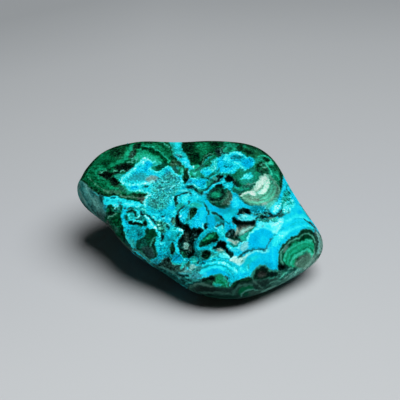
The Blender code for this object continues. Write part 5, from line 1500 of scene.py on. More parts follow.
# Greens and grey streaks of the foot.
FOOT_STREAKS_MARKS = (
    (area, .12, 2.5, .2, 3, (203,279, 209,277.5, 215,278, 215,282, 208,284, 203,282)),
    (area, .4, 2.9, 0, 3.5, (215,276, 221,275, 226,278, 229,283, 228,287, 222,287.5, 214,285)),
    (area, .5, 1.3, 0, 1.8, (213.5,283, 218,283.5, 222,284.5, 221,286.5, 215,286)),
    (line, .55, 1.8, 0, .8, (223,280, 225.5,283, 227.5,286)),
    (line, .6, 1.5, 0, .8, (225,278, 228,281, 229.5,284.5)),
    (line, .3, 1.9, .5, 2, (194,285, 199,283.5, 205,284.5, 211,287)),
    (area, .13, 1.9, .5, 2, (196,287.5, 204,286.5, 214,289, 222,290.5, 214,291.5, 202,290.5)),
    (line, .27, 2, .4, 2, (202,293, 210,292.3, 220,292.5, 229,293.5)),
    (line, .14, 2.3, .2, 2, (204,296.5, 214,297, 226,297, 236,296.5)),
    (area, .25, 2.7, 0, 2, (237,294, 239,289.5, 243,286.5, 249,286, 255,287.5, 250,290, 245,291,
        241,294.5)),
    (line, .42, 1.9, .3, 1.3, (240.5,295.5, 243,292, 247,290, 252,289.3, 257,290)),
    (line, .3, 1.9, .5, 1.2, (254,281, 258,284.5, 262.5,288.5)),
    (line, .42, 1.9, .5, 1.6, (262,292, 268,289.5, 275,286.5, 282,284, 288,280.5)),
    (line, .4, 1.9, .4, 1, (270,283, 275,281.5, 281,281)),
    (line, .46, 1.8, .4, 1.5, (289,279, 294,275, 299,271, 302,268)),
    (line, .36, 1.8, .5, 1, (284,278.5, 290,274.5, 294,271)),
    (line, .42, 2, .2, .9, (280,278, 283,274.5, 286,271.5)),
)

# Light in the green lens, and greens in front of the ledge and the chip.
LENS_LIGHT_MARKS = (
    (line, .44, 3, 0, 2.6, (203.5,241, 207,238.5, 210,236.5, 214,234.5)),
    (line, .56, 2.9, 0, 1.2, (205,239.5, 208,237.5, 210,236)),
    (area, .54, 2, 0, 1.5, (240,240, 241,236.5, 244,234, 248,231, 251,229, 248.5,233, 246.5,237,
        246.5,239.5, 243,240.5)),
    (area, .66, 1.7, .45, 1.8, (238,234.5, 240,231, 244,229, 247,229.5, 243,233, 240,236)),
    (line, .76, 1.5, .5, 1.4, (242.5,231.5, 246,229.5, 250,227.5, 253,226)),
    (line, .5, 1.7, .3, .9, (243.5,229, 247,227, 250,226)),
    (area, .34, 1.2, 0, 2, (194,251, 198,250, 200,253, 199,257, 196,258, 194,255)),
    (area, .56, 1.8, .1, 2, (264,205, 269,202.5, 274,199, 278,196, 279,198, 275,203, 270,208, 266,211)),
)

# Soft lightening and darkening of whole zones.
TONING_MARKS = (
    (shade, -.1, 0, 0, 2, (215.5,240, 219,238, 220,240, 217,245, 211,247, 208,247)),
    (shade, -.1, 0, 0, 3, (165,253, 172,251, 181,254, 183,261, 172,263, 165,260)),
    (shade, -.06, 0, 0, 3, (134,222, 146,222, 149,232, 140,236, 134,230)),
    (shade, -.06, 0, 0, 3, (279,262, 288,262, 292,268, 282,271)),
    (shade, .05, 0, 0, 3, (262,199, 274,200, 280,208, 272,213, 262,208)),
    (shade, -.04, 0, 0, 3, (284,190, 294,194, 298,204, 290,206, 284,200)),
    (shade, -.12, 0, 0, 3, (219,203, 228,205.5, 232,202, 234,210, 227,215, 217,211)),
    (shade, -.06, 0, 0, 4, (122,213, 140,226, 144,240, 138,250, 126,238)),
    (shade, -.06, 0, 0, 3, (156,228, 170,232, 170,256, 158,258, 156,244)),
    (shade, .04, 0, 0, 3, (144,222, 158,228, 156,242, 146,240)),
    (shade, -.07, 0, 0, 3, (158,212, 170,214, 180,224, 178,234, 166,228)),
    (shade, -.08, 0, 0, 3, (166,252, 182,254, 200,256, 206,263, 196,262, 182,261, 166,259)),
    (shade, .05, 0, 0, 4, (160,263, 176,262, 190,264, 196,272, 180,276, 164,270)),
    (shade, -.08, 0, 0, 3, (200,262, 212,262, 210,269, 200,270)),
    (shade, -.06, 0, 0, 4, (189,236, 200,240, 214,240, 228,246, 232,256, 214,256, 196,262, 190,250)),
    (shade, .09, 0, 0, 4, (168,162, 186,161, 200,163, 200,175, 186,178, 170,173)),
    (shade, .06, 0, 0, 4, (118,150, 130,148, 150,152, 168,156, 166,163, 140,160, 120,162)),
    (shade, .07, 0, 0, 4, (236,171, 258,172, 252,186, 238,188)),
    (shade, .06, 0, 0, 4, (262,158, 277,165, 281,178, 272,176, 264,168)),
    (shade, .06, 0, 0, 3, (262,193, 272,193, 278,204, 268,210, 260,202)),
    (shade, -.05, 0, 0, 4, (146,203, 160,206, 164,213, 150,212)),
    (shade, -.06, 0, 0, 5, (196,283, 230,287, 262,283, 300,276, 278,286, 240,299, 200,297)),
    (area, .45, .7, 0, 2, (250,206.5, 258,205, 264,208, 268,211.5, 258,214, 250,212.5)),
    (shade, -.09, 0, 0, 3, (227,272, 237,273, 239,280, 231,285, 227,279)),
    (shade, -.08, 0, 0, 3, (261,264, 271,263, 279,263, 279,271, 266,269)),
    (shade, .08, 0, 0, 3, (73,188, 84,186, 92,198, 92,208, 80,204)),
    (shade, -.06, 0, 0, 3, (208,172, 220,173, 220,180, 208,180)),
    (shade, .05, 0, 0, 4, (270,200, 282,199, 290,204, 282,214, 272,213)),
    (shade, .04, 0, 0, 3, (136,202, 148,203, 148,212, 138,212)),
    (shade, .08, 0, 0, 3, (276,270, 288,268, 294,272, 284,282, 276,280)),
)

# Groups in the order of painting.
MARK_GROUPS = (
    LEFT_LOBE_MARKS, LEFT_PATCH_MARKS, DRUSE_MARKS, GREEN_BEHIND_PATCH_MARKS, VEIN_MARKS, CROWN_MARKS,
    BRIGHT_PATCH_MARKS, TEAL_STEP_MARKS, BACK_SLOTS_MARKS, SMALL_EYE_MARKS, SMALL_EYE_SURROUND_MARKS,
    SHOULDER_MARKS, CHIP_LAYERS_AND_REFLECTION_MARKS, CHIP_RIGHT_MARKS, RIGHT_GROUND_MARKS, SEAM_MARKS, LEDGE_MARKS,
    GREY_NOOK_MARKS, LONG_SLASH_MARKS, PALE_WEDGE_MARKS, WEDGE_SIDE_MARKS, BLUE_FIELD_MARKS,
    DARK_CRUST_MARKS, RIGHT_BLUE_MARKS, LARGE_EYE_MARKS, STRIPED_MARGIN_AND_PAINTED_REFLECTION_MARKS, LARGE_EYE_FRONT_MARKS,
    FRONT_ARCS_MARKS, FOOT_LEFT_MARKS, FRONT_PATCH_MARKS, FOOT_MARKS, BROWN_SPOT_MARKS, LEFT_FLANK_AND_PAINTED_REFLECTION_MARKS,
    LOBE_STRIP_MARKS, LEFT_FOLD_MARKS, LEFT_COLUMN_MARKS, SWIRL_MARKS, PALE_STREAMS_MARKS, CRESCENT_MARKS,
    SECOND_COLUMN_MARKS, DRUSE_FRONT_MARKS, BLADES_MARKS, SPECKS_MARKS, CLEFT_LEFT_MARKS, CLEFT_MARKS,
    CLEFT_RIGHT_MARKS, RIGHT_VEINS_MARKS, LARGE_EYE_RINGS_MARKS, CHIP_PAINTED_REFLECTION_MARKS, FOOT_STREAKS_MARKS,
    LENS_LIGHT_MARKS, TONING_MARKS,
)

# Grain: its strength, and the outline that has it. Later ones replace earlier ones.
GRAINS = (
    (.09, LOBE_OUTLINE),
    (.06, (127,180, 131,176, 137,174, 142,173, 147,175, 143,181, 136,181)),
    (.07, (143,178, 149,174.5, 158,175.5, 160,180, 152,183.5, 146,182)),
    (.16, (150,186, 158,177, 165,174, 169,172, 172,173, 178,176, 182,178, 182,183, 178,190, 174,195,
        170,200, 169,206, 164,211, 158,211, 148,207, 146,203, 148,197, 151,193)),
    (.2, (150,186, 158,177, 169,172, 182,178, 178,190, 170,200, 164,211, 158,211, 146,203, 151,193)),
    (.08, (168,140, 172.5,151, 175.5,158, 181.5,162, 187,156, 184,152, 181.5,140)),
    (.08, CROWN_OUTLINE),
    (.09, (216,147, 222,144, 226,146, 224,151, 221,156, 215,153)),
    (.1, (209,161, 218,158, 220,164, 218,170, 212,173, 205,175, 201,172, 208,167)),
    (.08, SHOULDER_OUTLINE),
    (.07, (237,144, 246,145, 256,149, 266,155, 258,157.5, 248,156, 238,151)),
    (.06, (206,203, 230,206, 240,197, 272,203, 300,197, 312,215, 318,232, 300,234, 282,250, 278,272,
        250,276, 228,284, 222,240, 207,228)),
    (.2, (251.5,211, 258,211, 262,207, 269,207, 270,213.5, 276,217, 264,218, 257,216, 252.5,214.5)),
    (.14, (256.5,218.5, 262,218, 269,219, 278,218, 279,221, 272,222.5, 264,222.5, 258,222)),
    (.07, (292,264, 294,258, 302,254.5, 307.5,251, 311,259, 304,270, 296,269)),
    (.07, (150,262, 166,269, 178,271, 184,276, 188,279.5, 200,279.5, 190,290, 178,283, 154,269)),
    (.1, (216,280, 225.5,280, 228.5,285, 227,289, 218,287.5)),
    (.05, (66,178, 82,180, 90,188, 100,194.5, 103.5,204, 107,216, 109,223, 70,236)),
    (.07, (103.5,197.5, 116,195.5, 124,199.5, 136,201, 144,205.5, 152,212.5, 156,217, 146,213, 136,211,
        128,206.5, 113,207, 104,204)),
    (.12, (107,204, 113,204, 122,206, 121.5,213, 115,214, 107,215)),
    (.15, (127,229, 134,228, 138,231, 135,236, 131,238, 127,236)),
    (.07, (124,226, 134,226, 137,239, 136,249, 130,244, 125,235)),
    (.15, (127.5,213, 133,207, 141,205, 148,212, 147,219, 141,222.5, 129,221)),
    (.05, (145,229, 156,229, 157,237, 150,241, 145,238)),
    (.05, (140.5,247.5, 147,245.5, 152,248, 155,252, 156,257.5, 149,258, 144,253)),
    (.1, (152,262, 166,258, 172,263, 184,263, 186,270, 176,274, 160,268)),
    (.07, (160,214, 170,203, 176,196, 186,190, 204,196, 207,205, 190,205, 180,212, 171,222, 163,221)),
    (.24, (155.5,222, 160,220.5, 166,221.5, 170,224, 168,228, 165,234, 161,234, 158.5,230, 155.5,226)),
    (.07, (164.5,232, 176,232, 184,233.5, 178.5,240, 171,240, 165,243.5)),
    (.05, (182,232, 190,231, 193,240, 192,250, 184,252, 179,244)),
    (.14, (188,258, 195,256, 197,262, 195.5,265.5, 190,263)),
    (.02, (186,286, 202,281, 212,284, 228,289, 240,279, 252,277, 279,278, 300,276, 290,292, 250,300,
        215,301)),
    (.03, (255,268, 262,265, 268,270, 278,272, 276,280, 256,280)),
    (.03, (250,232, 262,224, 276,224, 282,232, 270,248, 258,250, 250,244)),
    (.03, (268,250, 279,246, 279,270, 262,266, 246,272, 240,262, 252,254)),
    (.03, (290,198, 300,203, 316,232, 300,230, 284,240, 282,226, 286,216)),
    (.04, (279,250, 288,238, 304,231, 322,236, 320,258, 296,274, 279,270)),
    (.03, (200,268, 216,262, 228,268, 222,278, 202,278)),
    (.03, (194,196, 208,203, 240,206, 232,218, 204,226, 196,214)),
    (.12, (282,181, 292,184, 296,200, 290,212, 274,216, 276,204, 284,196)),
    (.16, (172,212, 178,210, 190,226, 200,228, 196,240, 197,256, 184,258, 178,244)),
)

# ---------------------------------------------------------------- relief
# Hollows of the polished face: depth in millimetres, and the outline of the mouth.
HOLLOWS = (
    (2.0, (175,216, 177,214, 179,219, 183,224, 188,225, 191,229, 196,228, 203,230, 198,237, 194,245,
        195,254, 188,258, 182,256, 178,246, 179,240, 184,233, 184,230, 177,226)),
    (1.6, (216,245, 221,240, 226,243, 226,247, 234,254, 233,257, 230,258, 225,251, 220,248, 214,249)),
    (1.2, (232,217, 236,217, 240,221, 249,221, 255,221, 255,226, 250,231, 247,238, 241,242, 237,240,
        237,228, 233,223)),
    (1.4, (238,214, 239,209, 248,208, 251,214, 244,213)),
    (1.2, (224,236, 229,229, 235,230, 235,234, 239,238, 239,240, 231,239)),
    (1.2, (214,186, 217,184, 223,184, 223,189, 216,189)),
    (1.2, (233,178, 238,181, 243,187, 236,187)),
    (1.2, (225,179, 227,175, 232,176, 233,179, 231,182, 226,181)),
    (0.8, (219,175, 224,176, 221,182, 213,185, 213,181, 218,179)),
    (1.0, (184,184, 183,173, 187,168, 188,174, 189,178, 186,184)),
    (0.8, (184,187, 190,185, 193,186, 190,189)),
    (1.0, (98,175, 105,173, 108,171, 113,174, 109,179, 102,177)),
    (1.0, (110,180, 113,177, 119,182, 118,185, 112,186)),
    (1.0, (113,168, 121,164, 132,165, 134,167, 128,172, 120,170)),
    (0.6, (128,157, 132,151, 136,150, 134,157)),
    (0.5, (132,148, 136,144, 141,143, 140,148)),
    (0.8, (255,167, 258,163, 265,162, 264,166, 257,169)),
    (0.6, (262,159, 266,158, 270,161, 266,162)),
    (0.6, (237,147, 240,145, 243,147, 243,151, 238,151)),
    (0.6, (243,151, 247,150, 253,153, 249,155, 245,153)),
    (0.8, (190,209, 198,208, 195,215, 191,219, 189,214)),
    (0.5, (198,246, 205,237, 214,232, 219,237, 212,243, 202,247)),
    (0.5, (202,253, 208,250, 211,252, 207,259, 203,259)),
    (0.7, (161,233, 164,234, 163,241, 161,242)),
    (0.8, (171,243, 173,242, 175,251, 172,254, 171,249)),
    (0.6, (106,213, 112,212, 114,213, 107,217)),
    (0.7, (142,222, 146,220, 147,226, 143,226)),
    (0.8, (207,279, 211,277, 216,278, 213,283)),
    (0.6, (279,265, 286,268, 283,271, 279,270)),
    (0.6, (257,276, 262,270, 267,272, 266,277)),
    (0.5, (258,216, 276,216, 276,218, 264,219)),
    (0.6, (203,224, 207,223, 206,229, 204,229)),
)
# Cracks: depth in millimetres, width in pixels and the line.
CRACKS = (
    (0.25, 2.2, (242,255, 247,251, 254,249, 262,249, 265,250, 268,244, 272,237, 279,232, 283,229)),
    (0.20, 2.0, (269,213, 274,216, 280,212, 282,209)),
    (0.20, 2.0, (190,191, 183,194, 176,197, 176,200, 177,203, 176,206)),
    (0.20, 2.0, (178,213, 181,208, 184,206)),
    (0.20, 2.0, (204,205, 207,208, 208,212)),
    (0.20, 2.0, (212,213, 219,215, 223,220)),
    (0.20, 1.8, (304,219, 309,222, 315,228)),
    (0.15, 2.0, (174,197, 179,194, 183,193)),
    (0.20, 2.4, (129,223, 134,224, 141,225)),
    (0.25, 2.4, (150,217, 153,221, 159,223)),
)
# Chip: its outline, depth, and how far in from the outline that depth is reached, in pixels.
CHIP_OUTLINE = (240,196, 246,192, 254,186, 259,178, 266,173, 272,178, 279,186, 280,192, 276,199, 265,204,
    254,205, 245,201)
CHIP_DEPTH = 1.5
CHIP_REACH = 14.0
DRUSE_OUTLINE = (152,185, 158,178, 169,172, 178,177, 182,180, 178,190, 170,200, 164,210, 150,207, 147,203,
    153,193)
# Druse: soft edge in pixels, then height and size of its grains.
DRUSE_EDGE = 3.0
DRUSE_HEIGHT = 0.16
DRUSE_SIZE = 1.0
# Width of a hollow's wall in pixels, and the share of it that lies outside the outline.
HOLLOW_SLOPE = 2.4
HOLLOW_AT_OUTLINE = 0.2
# Gentle waves left by the polishing: height and size.
WAVE_HEIGHT = 0.12
WAVE_SIZE = 9.0


def relief(pixels, places):
    """How far each place lies below the rounded form, in millimetres."""
    depth = WAVE_HEIGHT * fractal(places, WAVE_SIZE, 2, SEEDS["waves"])
    for sunk, outline in HOLLOWS:
        where, _ = area_share(pixels, SHAPE_EDGE, outline)
        inside = outline_depth(pixels[where], drawn(outline))
        depth[where] += sunk * smooth_step(inside / HOLLOW_SLOPE + HOLLOW_AT_OUTLINE)
    for sunk, width, points in CRACKS:
        where, share = line_share(pixels, width, points)
        depth[where] += sunk * share
    where, _ = area_share(pixels, SHAPE_EDGE, CHIP_OUTLINE)
    inside = np.clip(outline_depth(pixels[where], drawn(CHIP_OUTLINE)) / CHIP_REACH, 0.0, 1.0)
    depth[where] += CHIP_DEPTH * inside * (2.0 - inside)
    where, share = area_share(pixels, DRUSE_EDGE, DRUSE_OUTLINE)
    depth[where] += DRUSE_HEIGHT * share * fractal(places[where], DRUSE_SIZE, 2, SEEDS["druse"])
    return depth


# Small swellings of the outline: photo point, reach in pixels and height in millimetres.
SWELLS = (
    ((203,140), 22, 0.5),
    ((98,155), 13, 0.4),
    ((127,143), 12, -0.35),
    ((80,176), 6, -0.3),
    ((298,202), 16, 0.45),
    ((84,203), 16, 0.2),
    ((277,163), 12, 0.15),
)
# A swelling fades out where the surface faces the camera by this cosine or more.
SWELL_FACING = 0.7


def swelling(pixels, facing):
    """How far each place near the outline lies above the rounded form, in millimetres."""
    edge = np.clip(1.0 - (facing / SWELL_FACING) ** 2, 0.0, 1.0)
    rise = np.zeros(len(pixels))
    for middle, reach, height in SWELLS:
        rise += height * np.exp(-np.sum((pixels - middle) ** 2, axis=1) / reach ** 2)
    return rise * edge


# ---------------------------------------------------------------- sides that the photo does not show
# Balls of malachite: centre and radius.
BALLS = (
    (-30, 14, 20, 12), (3, 27, 22, 8), (22, 17, 22, 9), (33, -14, 13, 9), (6, -29, 7, 9), (20, -26, 7, 8),
    (-8, -26, 6, 6), (-12, 30, 11, 8), (12, 33, 9, 8), (30, 20, 9, 8), (39, 4, 10, 6), (-38, 20, 8, 7),
    (-25, 30, 8, 5), (38, -7, 4, 5), (-28, -5, 5, 6), (0, 8, 0, 7), (14, -12, 0, 6), (-22, 14, 2, 8),
    (22, 12, 1, 7), (-10, -8, 0, 5),
)
# How far noise bends the balls out of round, and the size of its cells.
BALL_BEND = 2.2
BALL_BEND_SIZE = 7.0


def ball_rings(places):
    """Distance outside the nearest ball of malachite, negative within it."""
    bend = np.stack([fractal(places, BALL_BEND_SIZE, 2, seed) for seed in SEEDS["balls"]], axis=1)
    bent = places + BALL_BEND * bend
    rings = np.full(len(places), np.inf)
    for x, y, z, radius in BALLS:
        rings = np.minimum(rings, np.linalg.norm(bent - (x, y, z), axis=1) - radius)
    return rings


# The drawn markings fade out between these two cosines to the camera. Noise of the given height and size
# makes their border ragged.
SEEN_LEAST = -0.24
SEEN_WELL = -0.18
RAGGED = 0.2
RAGGED_SIZE = 6.0
# The relief is full where the surface faces the camera by this cosine or more.
CARVED_WELL = 0.1


def seen_share(places, facing):
    """How far each place has the drawn markings, from 0 on the hidden sides to 1."""
    ragged = facing + RAGGED * fractal(places, RAGGED_SIZE, 2, SEEDS["border"])
    return np.clip((ragged - SEEN_LEAST) / (SEEN_WELL - SEEN_LEAST), 0.0, 1.0)


# ---------------------------------------------------------------- light
# Key lamp: the way to it from the stone, its width as an angle and its power.
KEY_WAY = Vector((0.40, 0.25, 1.0))
KEY_ANGLE = 0.95
KEY_POWER = 3.3
STUDIO_COLOUR = (200, 198, 192)
STUDIO_STRENGTH = 0.03
# Light that the drawn colours are meant for, and what a surface turned away from the lamp still gets, as
# cosines, then how soft the change between them is and how far a colour may be changed for it.
LIT_USUAL = 0.97
LIT_LEAST = 0.05
LIT_SOFTNESS = 0.03
GAIN_LIMITS = (0.8, 2.6)
# Painted shade underneath: the stone is painted darker where its normal turns down. Upward part of the normal
# where that starts, and how soon it is full.
UNDER_START = 0.1
UNDER_WIDTH = 0.5
UNDER_PAINTED_SHADE = 0.75
# Share of that painted shade which the drawn markings are spared, since they show that shade already.
UNDER_SPARED = 0.75


def light_gain(normals):
    """How much paler the stone must be, where the key lamp strikes it less fully than the floor."""
    straight = normals @ np.array(KEY_WAY.normalized())
    lit = (straight + np.sqrt(straight ** 2 + LIT_SOFTNESS)) / 2.0 + LIT_LEAST
    return np.clip(LIT_USUAL / lit, *GAIN_LIMITS)


def painted_light_and_shade(normals, seen):
    """Factor on the colour of each place: painted light that makes the drawn face paler where the lamp strikes
    it less, and painted shade on the underside.
    """
    # Painted light: paler where the key lamp strikes less fully.
    paler = 1.0 + (light_gain(normals) - 1.0) * seen
    # Painted shade: darker where the normal turns down.
    painted_under_shade = smooth_step((UNDER_START - normals[:, 2]) / UNDER_WIDTH)
    return paler * (1.0 - UNDER_PAINTED_SHADE * painted_under_shade * (1.0 - UNDER_SPARED * seen))


# ---------------------------------------------------------------- painting
# Look of the stone before anything is drawn on it.
GROUND = {"tone": 0.60, "hue": 0.8, "grey": 0.0, "grain": 0.085}
# Noise that makes every drawn edge uneven: its reach in pixels, the size of its cells, and how far apart in
# the noise the sideways and the downward part are taken.
WOBBLE = 1.1
WOBBLE_SIZE = 1.0
WOBBLE_SHIFTS = (0, 40)


def paint(pixels, places):
    """Fields of the drawn markings at each place."""
    fields = {name: np.full(len(pixels), value) for name, value in GROUND.items()}
    waver = np.stack([fractal(places + shift, WOBBLE_SIZE, 2, seed)
                      for shift, seed in zip(WOBBLE_SHIFTS, SEEDS["wobble"])], axis=1)
    pixels = pixels + WOBBLE * waver
    for brush, tone, hue, grey, size, shape in itertools.chain(*MARK_GROUPS):
        brush(fields, pixels, (tone, hue, grey), size, shape)
    for grain, outline in GRAINS:
        where, share = area_share(pixels, SHAPE_EDGE, outline)
        fields["grain"][where] += (grain - fields["grain"][where]) * share
    return fields


# ---------------------------------------------------------------- materials
# Part of the noise texture's range that is spread over -1 to 1.
NOISE_SPAN = (0.2, 0.8)


def srgb(red, green, blue):
    """Linear colour of an everyday 0 to 255 colour."""
    shares = (value / 255.0 for value in (red, green, blue))
    linear = [share / 12.92 if share <= 0.04045 else ((share + 0.055) / 1.055) ** 2.4 for share in shares]
    return (*linear, 1.0)


class NodeTree:
    """Short ways to add the nodes of one material."""

    def __init__(self, material):
        material.use_nodes = True
        self.nodes = material.node_tree.nodes
        self.links = material.node_tree.links
        self.shader = self.nodes["Principled BSDF"]

    def add(self, kind, inputs, **settings):
        """New node of a kind, with its inputs linked or set and its own settings."""
        node = self.nodes.new(kind)
        for name, value in settings.items():
            setattr(node, name, value)
        for key, value in inputs.items():
            if isinstance(value, bpy.types.NodeSocket):
                self.links.new(value, node.inputs[key])
            else:
                node.inputs[key].default_value = value
        return node

    def place(self):
        """Place on the object, in metres."""
        return self.add("ShaderNodeTexCoord", {}).outputs["Object"]

    def field(self, name):
        """Number stored on the vertices under a name."""
        return self.add("ShaderNodeAttribute", {}, attribute_name=name).outputs["Fac"]

    def math(self, operation, first, second=0.0, third=0.0):
        """Result of a sum on up to three numbers."""
        return self.add("ShaderNodeMath", {0: first, 1: second, 2: third}, operation=operation).outputs[0]

    def times(self, first, second):
        """Product of two numbers."""
        return self.math("MULTIPLY", first, second)

    def plus(self, base, amount, share):
        """The base with an amount added, as far as the share says."""
        return self.math("MULTIPLY_ADD", share, amount, base)

    def fit(self, value, low, high, to_low=0.0, to_high=1.0):
        """Value brought from the range low to high into another range, and kept in it."""
        inputs = {"Value": value, "From Min": low, "From Max": high, "To Min": to_low, "To Max": to_high}
        return self.add("ShaderNodeMapRange", inputs).outputs["Result"]

    def noise(self, vector, scale, detail, roughness):
        """Noise from about -1 to 1."""
        inputs = {"Vector": vector, "Scale": scale, "Detail": detail, "Roughness": roughness}
        return self.fit(self.add("ShaderNodeTexNoise", inputs).outputs["Fac"], *NOISE_SPAN, -1.0, 1.0)

    def noise_along(self, value, scale, detail):
        """Noise from about -1 to 1 that changes along one value only."""
        inputs = {"W": value, "Scale": scale, "Detail": detail}
        node = self.add("ShaderNodeTexNoise", inputs, noise_dimensions="1D")
        return self.fit(node.outputs["Fac"], *NOISE_SPAN, -1.0, 1.0)

    def blend(self, share, first, second):
        """Number a share of the way from first to second."""
        return self.add("ShaderNodeMix", {0: share, 2: first, 3: second}).outputs[0]

    def mix(self, share, first, second):
        """Colour a share of the way from first to second."""
        return self.add("ShaderNodeMix", {0: share, 6: first, 7: second}, data_type="RGBA").outputs[2]

    def ramp(self, value, stops):
        """Colour of a value on a ramp of stops, each with its place and colour."""
        node = self.add("ShaderNodeValToRGB", {0: value})
        elements = node.color_ramp.elements
        while len(elements) < len(stops):
            elements.new(1.0)
        for element, (place, colour) in zip(elements, stops):
            element.position = place
            element.color = srgb(*colour)
        return node.outputs["Color"]

    def set(self, name, value):
        """Give an input of the shader a number or a link."""
        if isinstance(value, bpy.types.NodeSocket):
            self.links.new(value, self.shader.inputs[name])
        else:
            self.shader.inputs[name].default_value = value


# Each mineral's shade at the deep level and at the light level, then how late it pales above the light level:
# sky blue and turquoise chrysocolla, the teal between the two minerals, and malachite. Then the same for grey.
MINERALS = (
    ((0, 60, 75), (0, 182, 230), 2.5),
    ((5, 62, 62), (12, 184, 192), 3.0),
    ((8, 62, 52), (30, 178, 152), 1.9),
    ((0, 68, 35), (20, 182, 132), 2.1),
)
GREY = ((50, 58, 54), (150, 163, 155), 2.0)
INK = np.array((0.0, 6.0, 6.0))
WHITE = 255.0
# Levels of brightness at which a ramp has a stop, and the share of white at the palest one.
LEVELS = (0, *range(10, 251, 20))
DEEP_LEVEL = 50
LIGHT_LEVEL = 150
PALEST_LEVEL = 250
PALEST_SHARE = 0.8
# Shares of red, green and blue in brightness.
BRIGHTNESS = np.array((0.2126, 0.7152, 0.0722))

# Noises over the stone: scale per metre, detail and roughness.
NOISES = {
    "ball edge": (260.0, 3.0, 0.5),
    "shades": (130.0, 4.0, 0.6),
    "cracks": (75.0, 4.0, 0.65),
    "vugs": (240.0, 3.0, 0.6),
    "vug fields": (48.0, 1.0, 0.5),
    "hue drift": (60.0, 2.0, 0.5),
    "fine grain": (1600.0, 3.0, 0.7),
    "coarse grain": (520.0, 2.0, 0.6),
    "grain hue": (700.0, 2.0, 0.5),
}
# Noises across the layers round a ball: scale per millimetre and detail.
LAYERS = {"ball zones": (0.7, 3.0), "ball bands": (2.6, 2.0), "blue zones": (0.9, 3.0)}

# Malachite balls of the hidden sides: edge in millimetres, then tones, hue and the dark layer at the rim.
BALL_RAGGED = 0.8
BALL_EDGE = (0.15, -0.15)
BALL_TONE = 0.33
BALL_ZONES = 0.26
BALL_BANDS = 0.14
BALL_RIM = (-1.1, -0.2)
BALL_RIM_DARKER = 0.16
BALL_HUE = 2.8
# Chrysocolla between the balls: tones, pale rim round a ball, cracks, vugs and hue.
BLUE_TONE = 0.60
BLUE_SHADES = 0.26
BLUE_ZONES = 0.16
BLUE_RIM = (1.3, 0.5)
BLUE_RIM_PALER = 0.14
CRACK_WIDTHS = (0.05, 0.015)
CRACK_DARKER = -0.38
VUG_MOUTHS = (0.22, 0.32)
VUG_FIELDS = (0.0, 0.15)
VUG_DARKER = -0.45
BLUE_HUE = 0.8
BLUE_HUE_DRIFT = 1.6
HIDDEN_GREY = 0.03

# Grain: how strongly it changes the tone and the hue.
FINE_STRENGTH = 2.6
COARSE_STRENGTH = 0.5
HUE_STRENGTH = 3.0
# Thin threads in the grain: mineral, scale per metre, width and change of tone.
THREADS = (
    ("turquoise", 330.0, 0.10, 0.10),
    ("turquoise", 290.0, 0.08, -0.17),
    ("malachite", 360.0, 0.09, 0.10),
    ("malachite", 270.0, 0.11, -0.09),
)
THREAD_DETAIL = 3.0
THREAD_ROUGHNESS = 0.6
THREAD_CORE = 0.3
# Hues between which each mineral's threads come in, and grains from which threads show.
THREAD_HUES = {"turquoise": (2.4, 1.6), "malachite": (2.0, 2.6)}
THREAD_GRAINS = (0.04, 0.08)

# Polish: roughness, its growth with the grain, bump and gloss.
ROUGH_LEAST = 0.22
ROUGH_GRAIN = 2.0
ROUGH_COARSE = 0.04
BUMP_LEAST = 0.08
BUMP_GRAIN = 6.0
BUMP_STRENGTH = 0.35
BUMP_METRES = 0.00012
HIDDEN_GLOSS = 0.06


def hidden_ball(tree, place, ring):
    """Cover and tone of the malachite balls on the hidden sides, and their ragged distance."""
    ragged = tree.plus(ring, BALL_RAGGED, tree.noise(place, *NOISES["ball edge"]))
    tone = tree.plus(BALL_TONE, BALL_ZONES, tree.noise_along(ring, *LAYERS["ball zones"]))
    tone = tree.plus(tone, BALL_BANDS, tree.noise_along(ring, *LAYERS["ball bands"]))
    tone = tree.plus(tone, -BALL_RIM_DARKER, tree.fit(ragged, *BALL_RIM))
    return tree.fit(ragged, *BALL_EDGE), tone, ragged


def hidden_blue(tree, place, ring, ragged):
    """Tone and hue of the chrysocolla between the balls."""
    tone = tree.plus(BLUE_TONE, BLUE_SHADES, tree.noise(place, *NOISES["shades"]))
    tone = tree.plus(tone, BLUE_ZONES, tree.noise_along(ring, *LAYERS["blue zones"]))
    tone = tree.plus(tone, BLUE_RIM_PALER, tree.fit(ragged, *BLUE_RIM))
    ridge = tree.math("ABSOLUTE", tree.noise(place, *NOISES["cracks"]))
    tone = tree.plus(tone, CRACK_DARKER, tree.fit(ridge, *CRACK_WIDTHS))
    vug = tree.fit(tree.noise(place, *NOISES["vugs"]), *VUG_MOUTHS)
    vug = tree.times(vug, tree.fit(tree.noise(place, *NOISES["vug fields"]), *VUG_FIELDS))
    tone = tree.plus(tone, VUG_DARKER, vug)
    hue = tree.plus(BLUE_HUE, BLUE_HUE_DRIFT, tree.noise(place, *NOISES["hue drift"]))
    return tone, tree.math("ADD", hue, vug)


def with_threads(tree, place, tone, hue, grain):
    """The tone with thin pale and dark threads in it."""
    showing = tree.fit(grain, *THREAD_GRAINS)
    strengths = {mineral: tree.times(tree.fit(hue, *hues), showing) for mineral, hues in THREAD_HUES.items()}
    for mineral, scale, width, change in THREADS:
        ridge = tree.math("ABSOLUTE", tree.noise(place, scale, THREAD_DETAIL, THREAD_ROUGHNESS))
        thread = tree.times(tree.fit(ridge, width, width * THREAD_CORE), strengths[mineral])
        tone = tree.plus(tone, change, thread)
    return tone


def pale_shade(level, light, late):
    """Shade above the light level, which takes up white and stays as bright as its level."""
    white = PALEST_SHARE * ((level - LIGHT_LEVEL) / (PALEST_LEVEL - LIGHT_LEVEL)) ** late
    own = level / LIGHT_LEVEL - white * WHITE / (light @ BRIGHTNESS)
    return np.minimum(light * own + white * WHITE, WHITE)


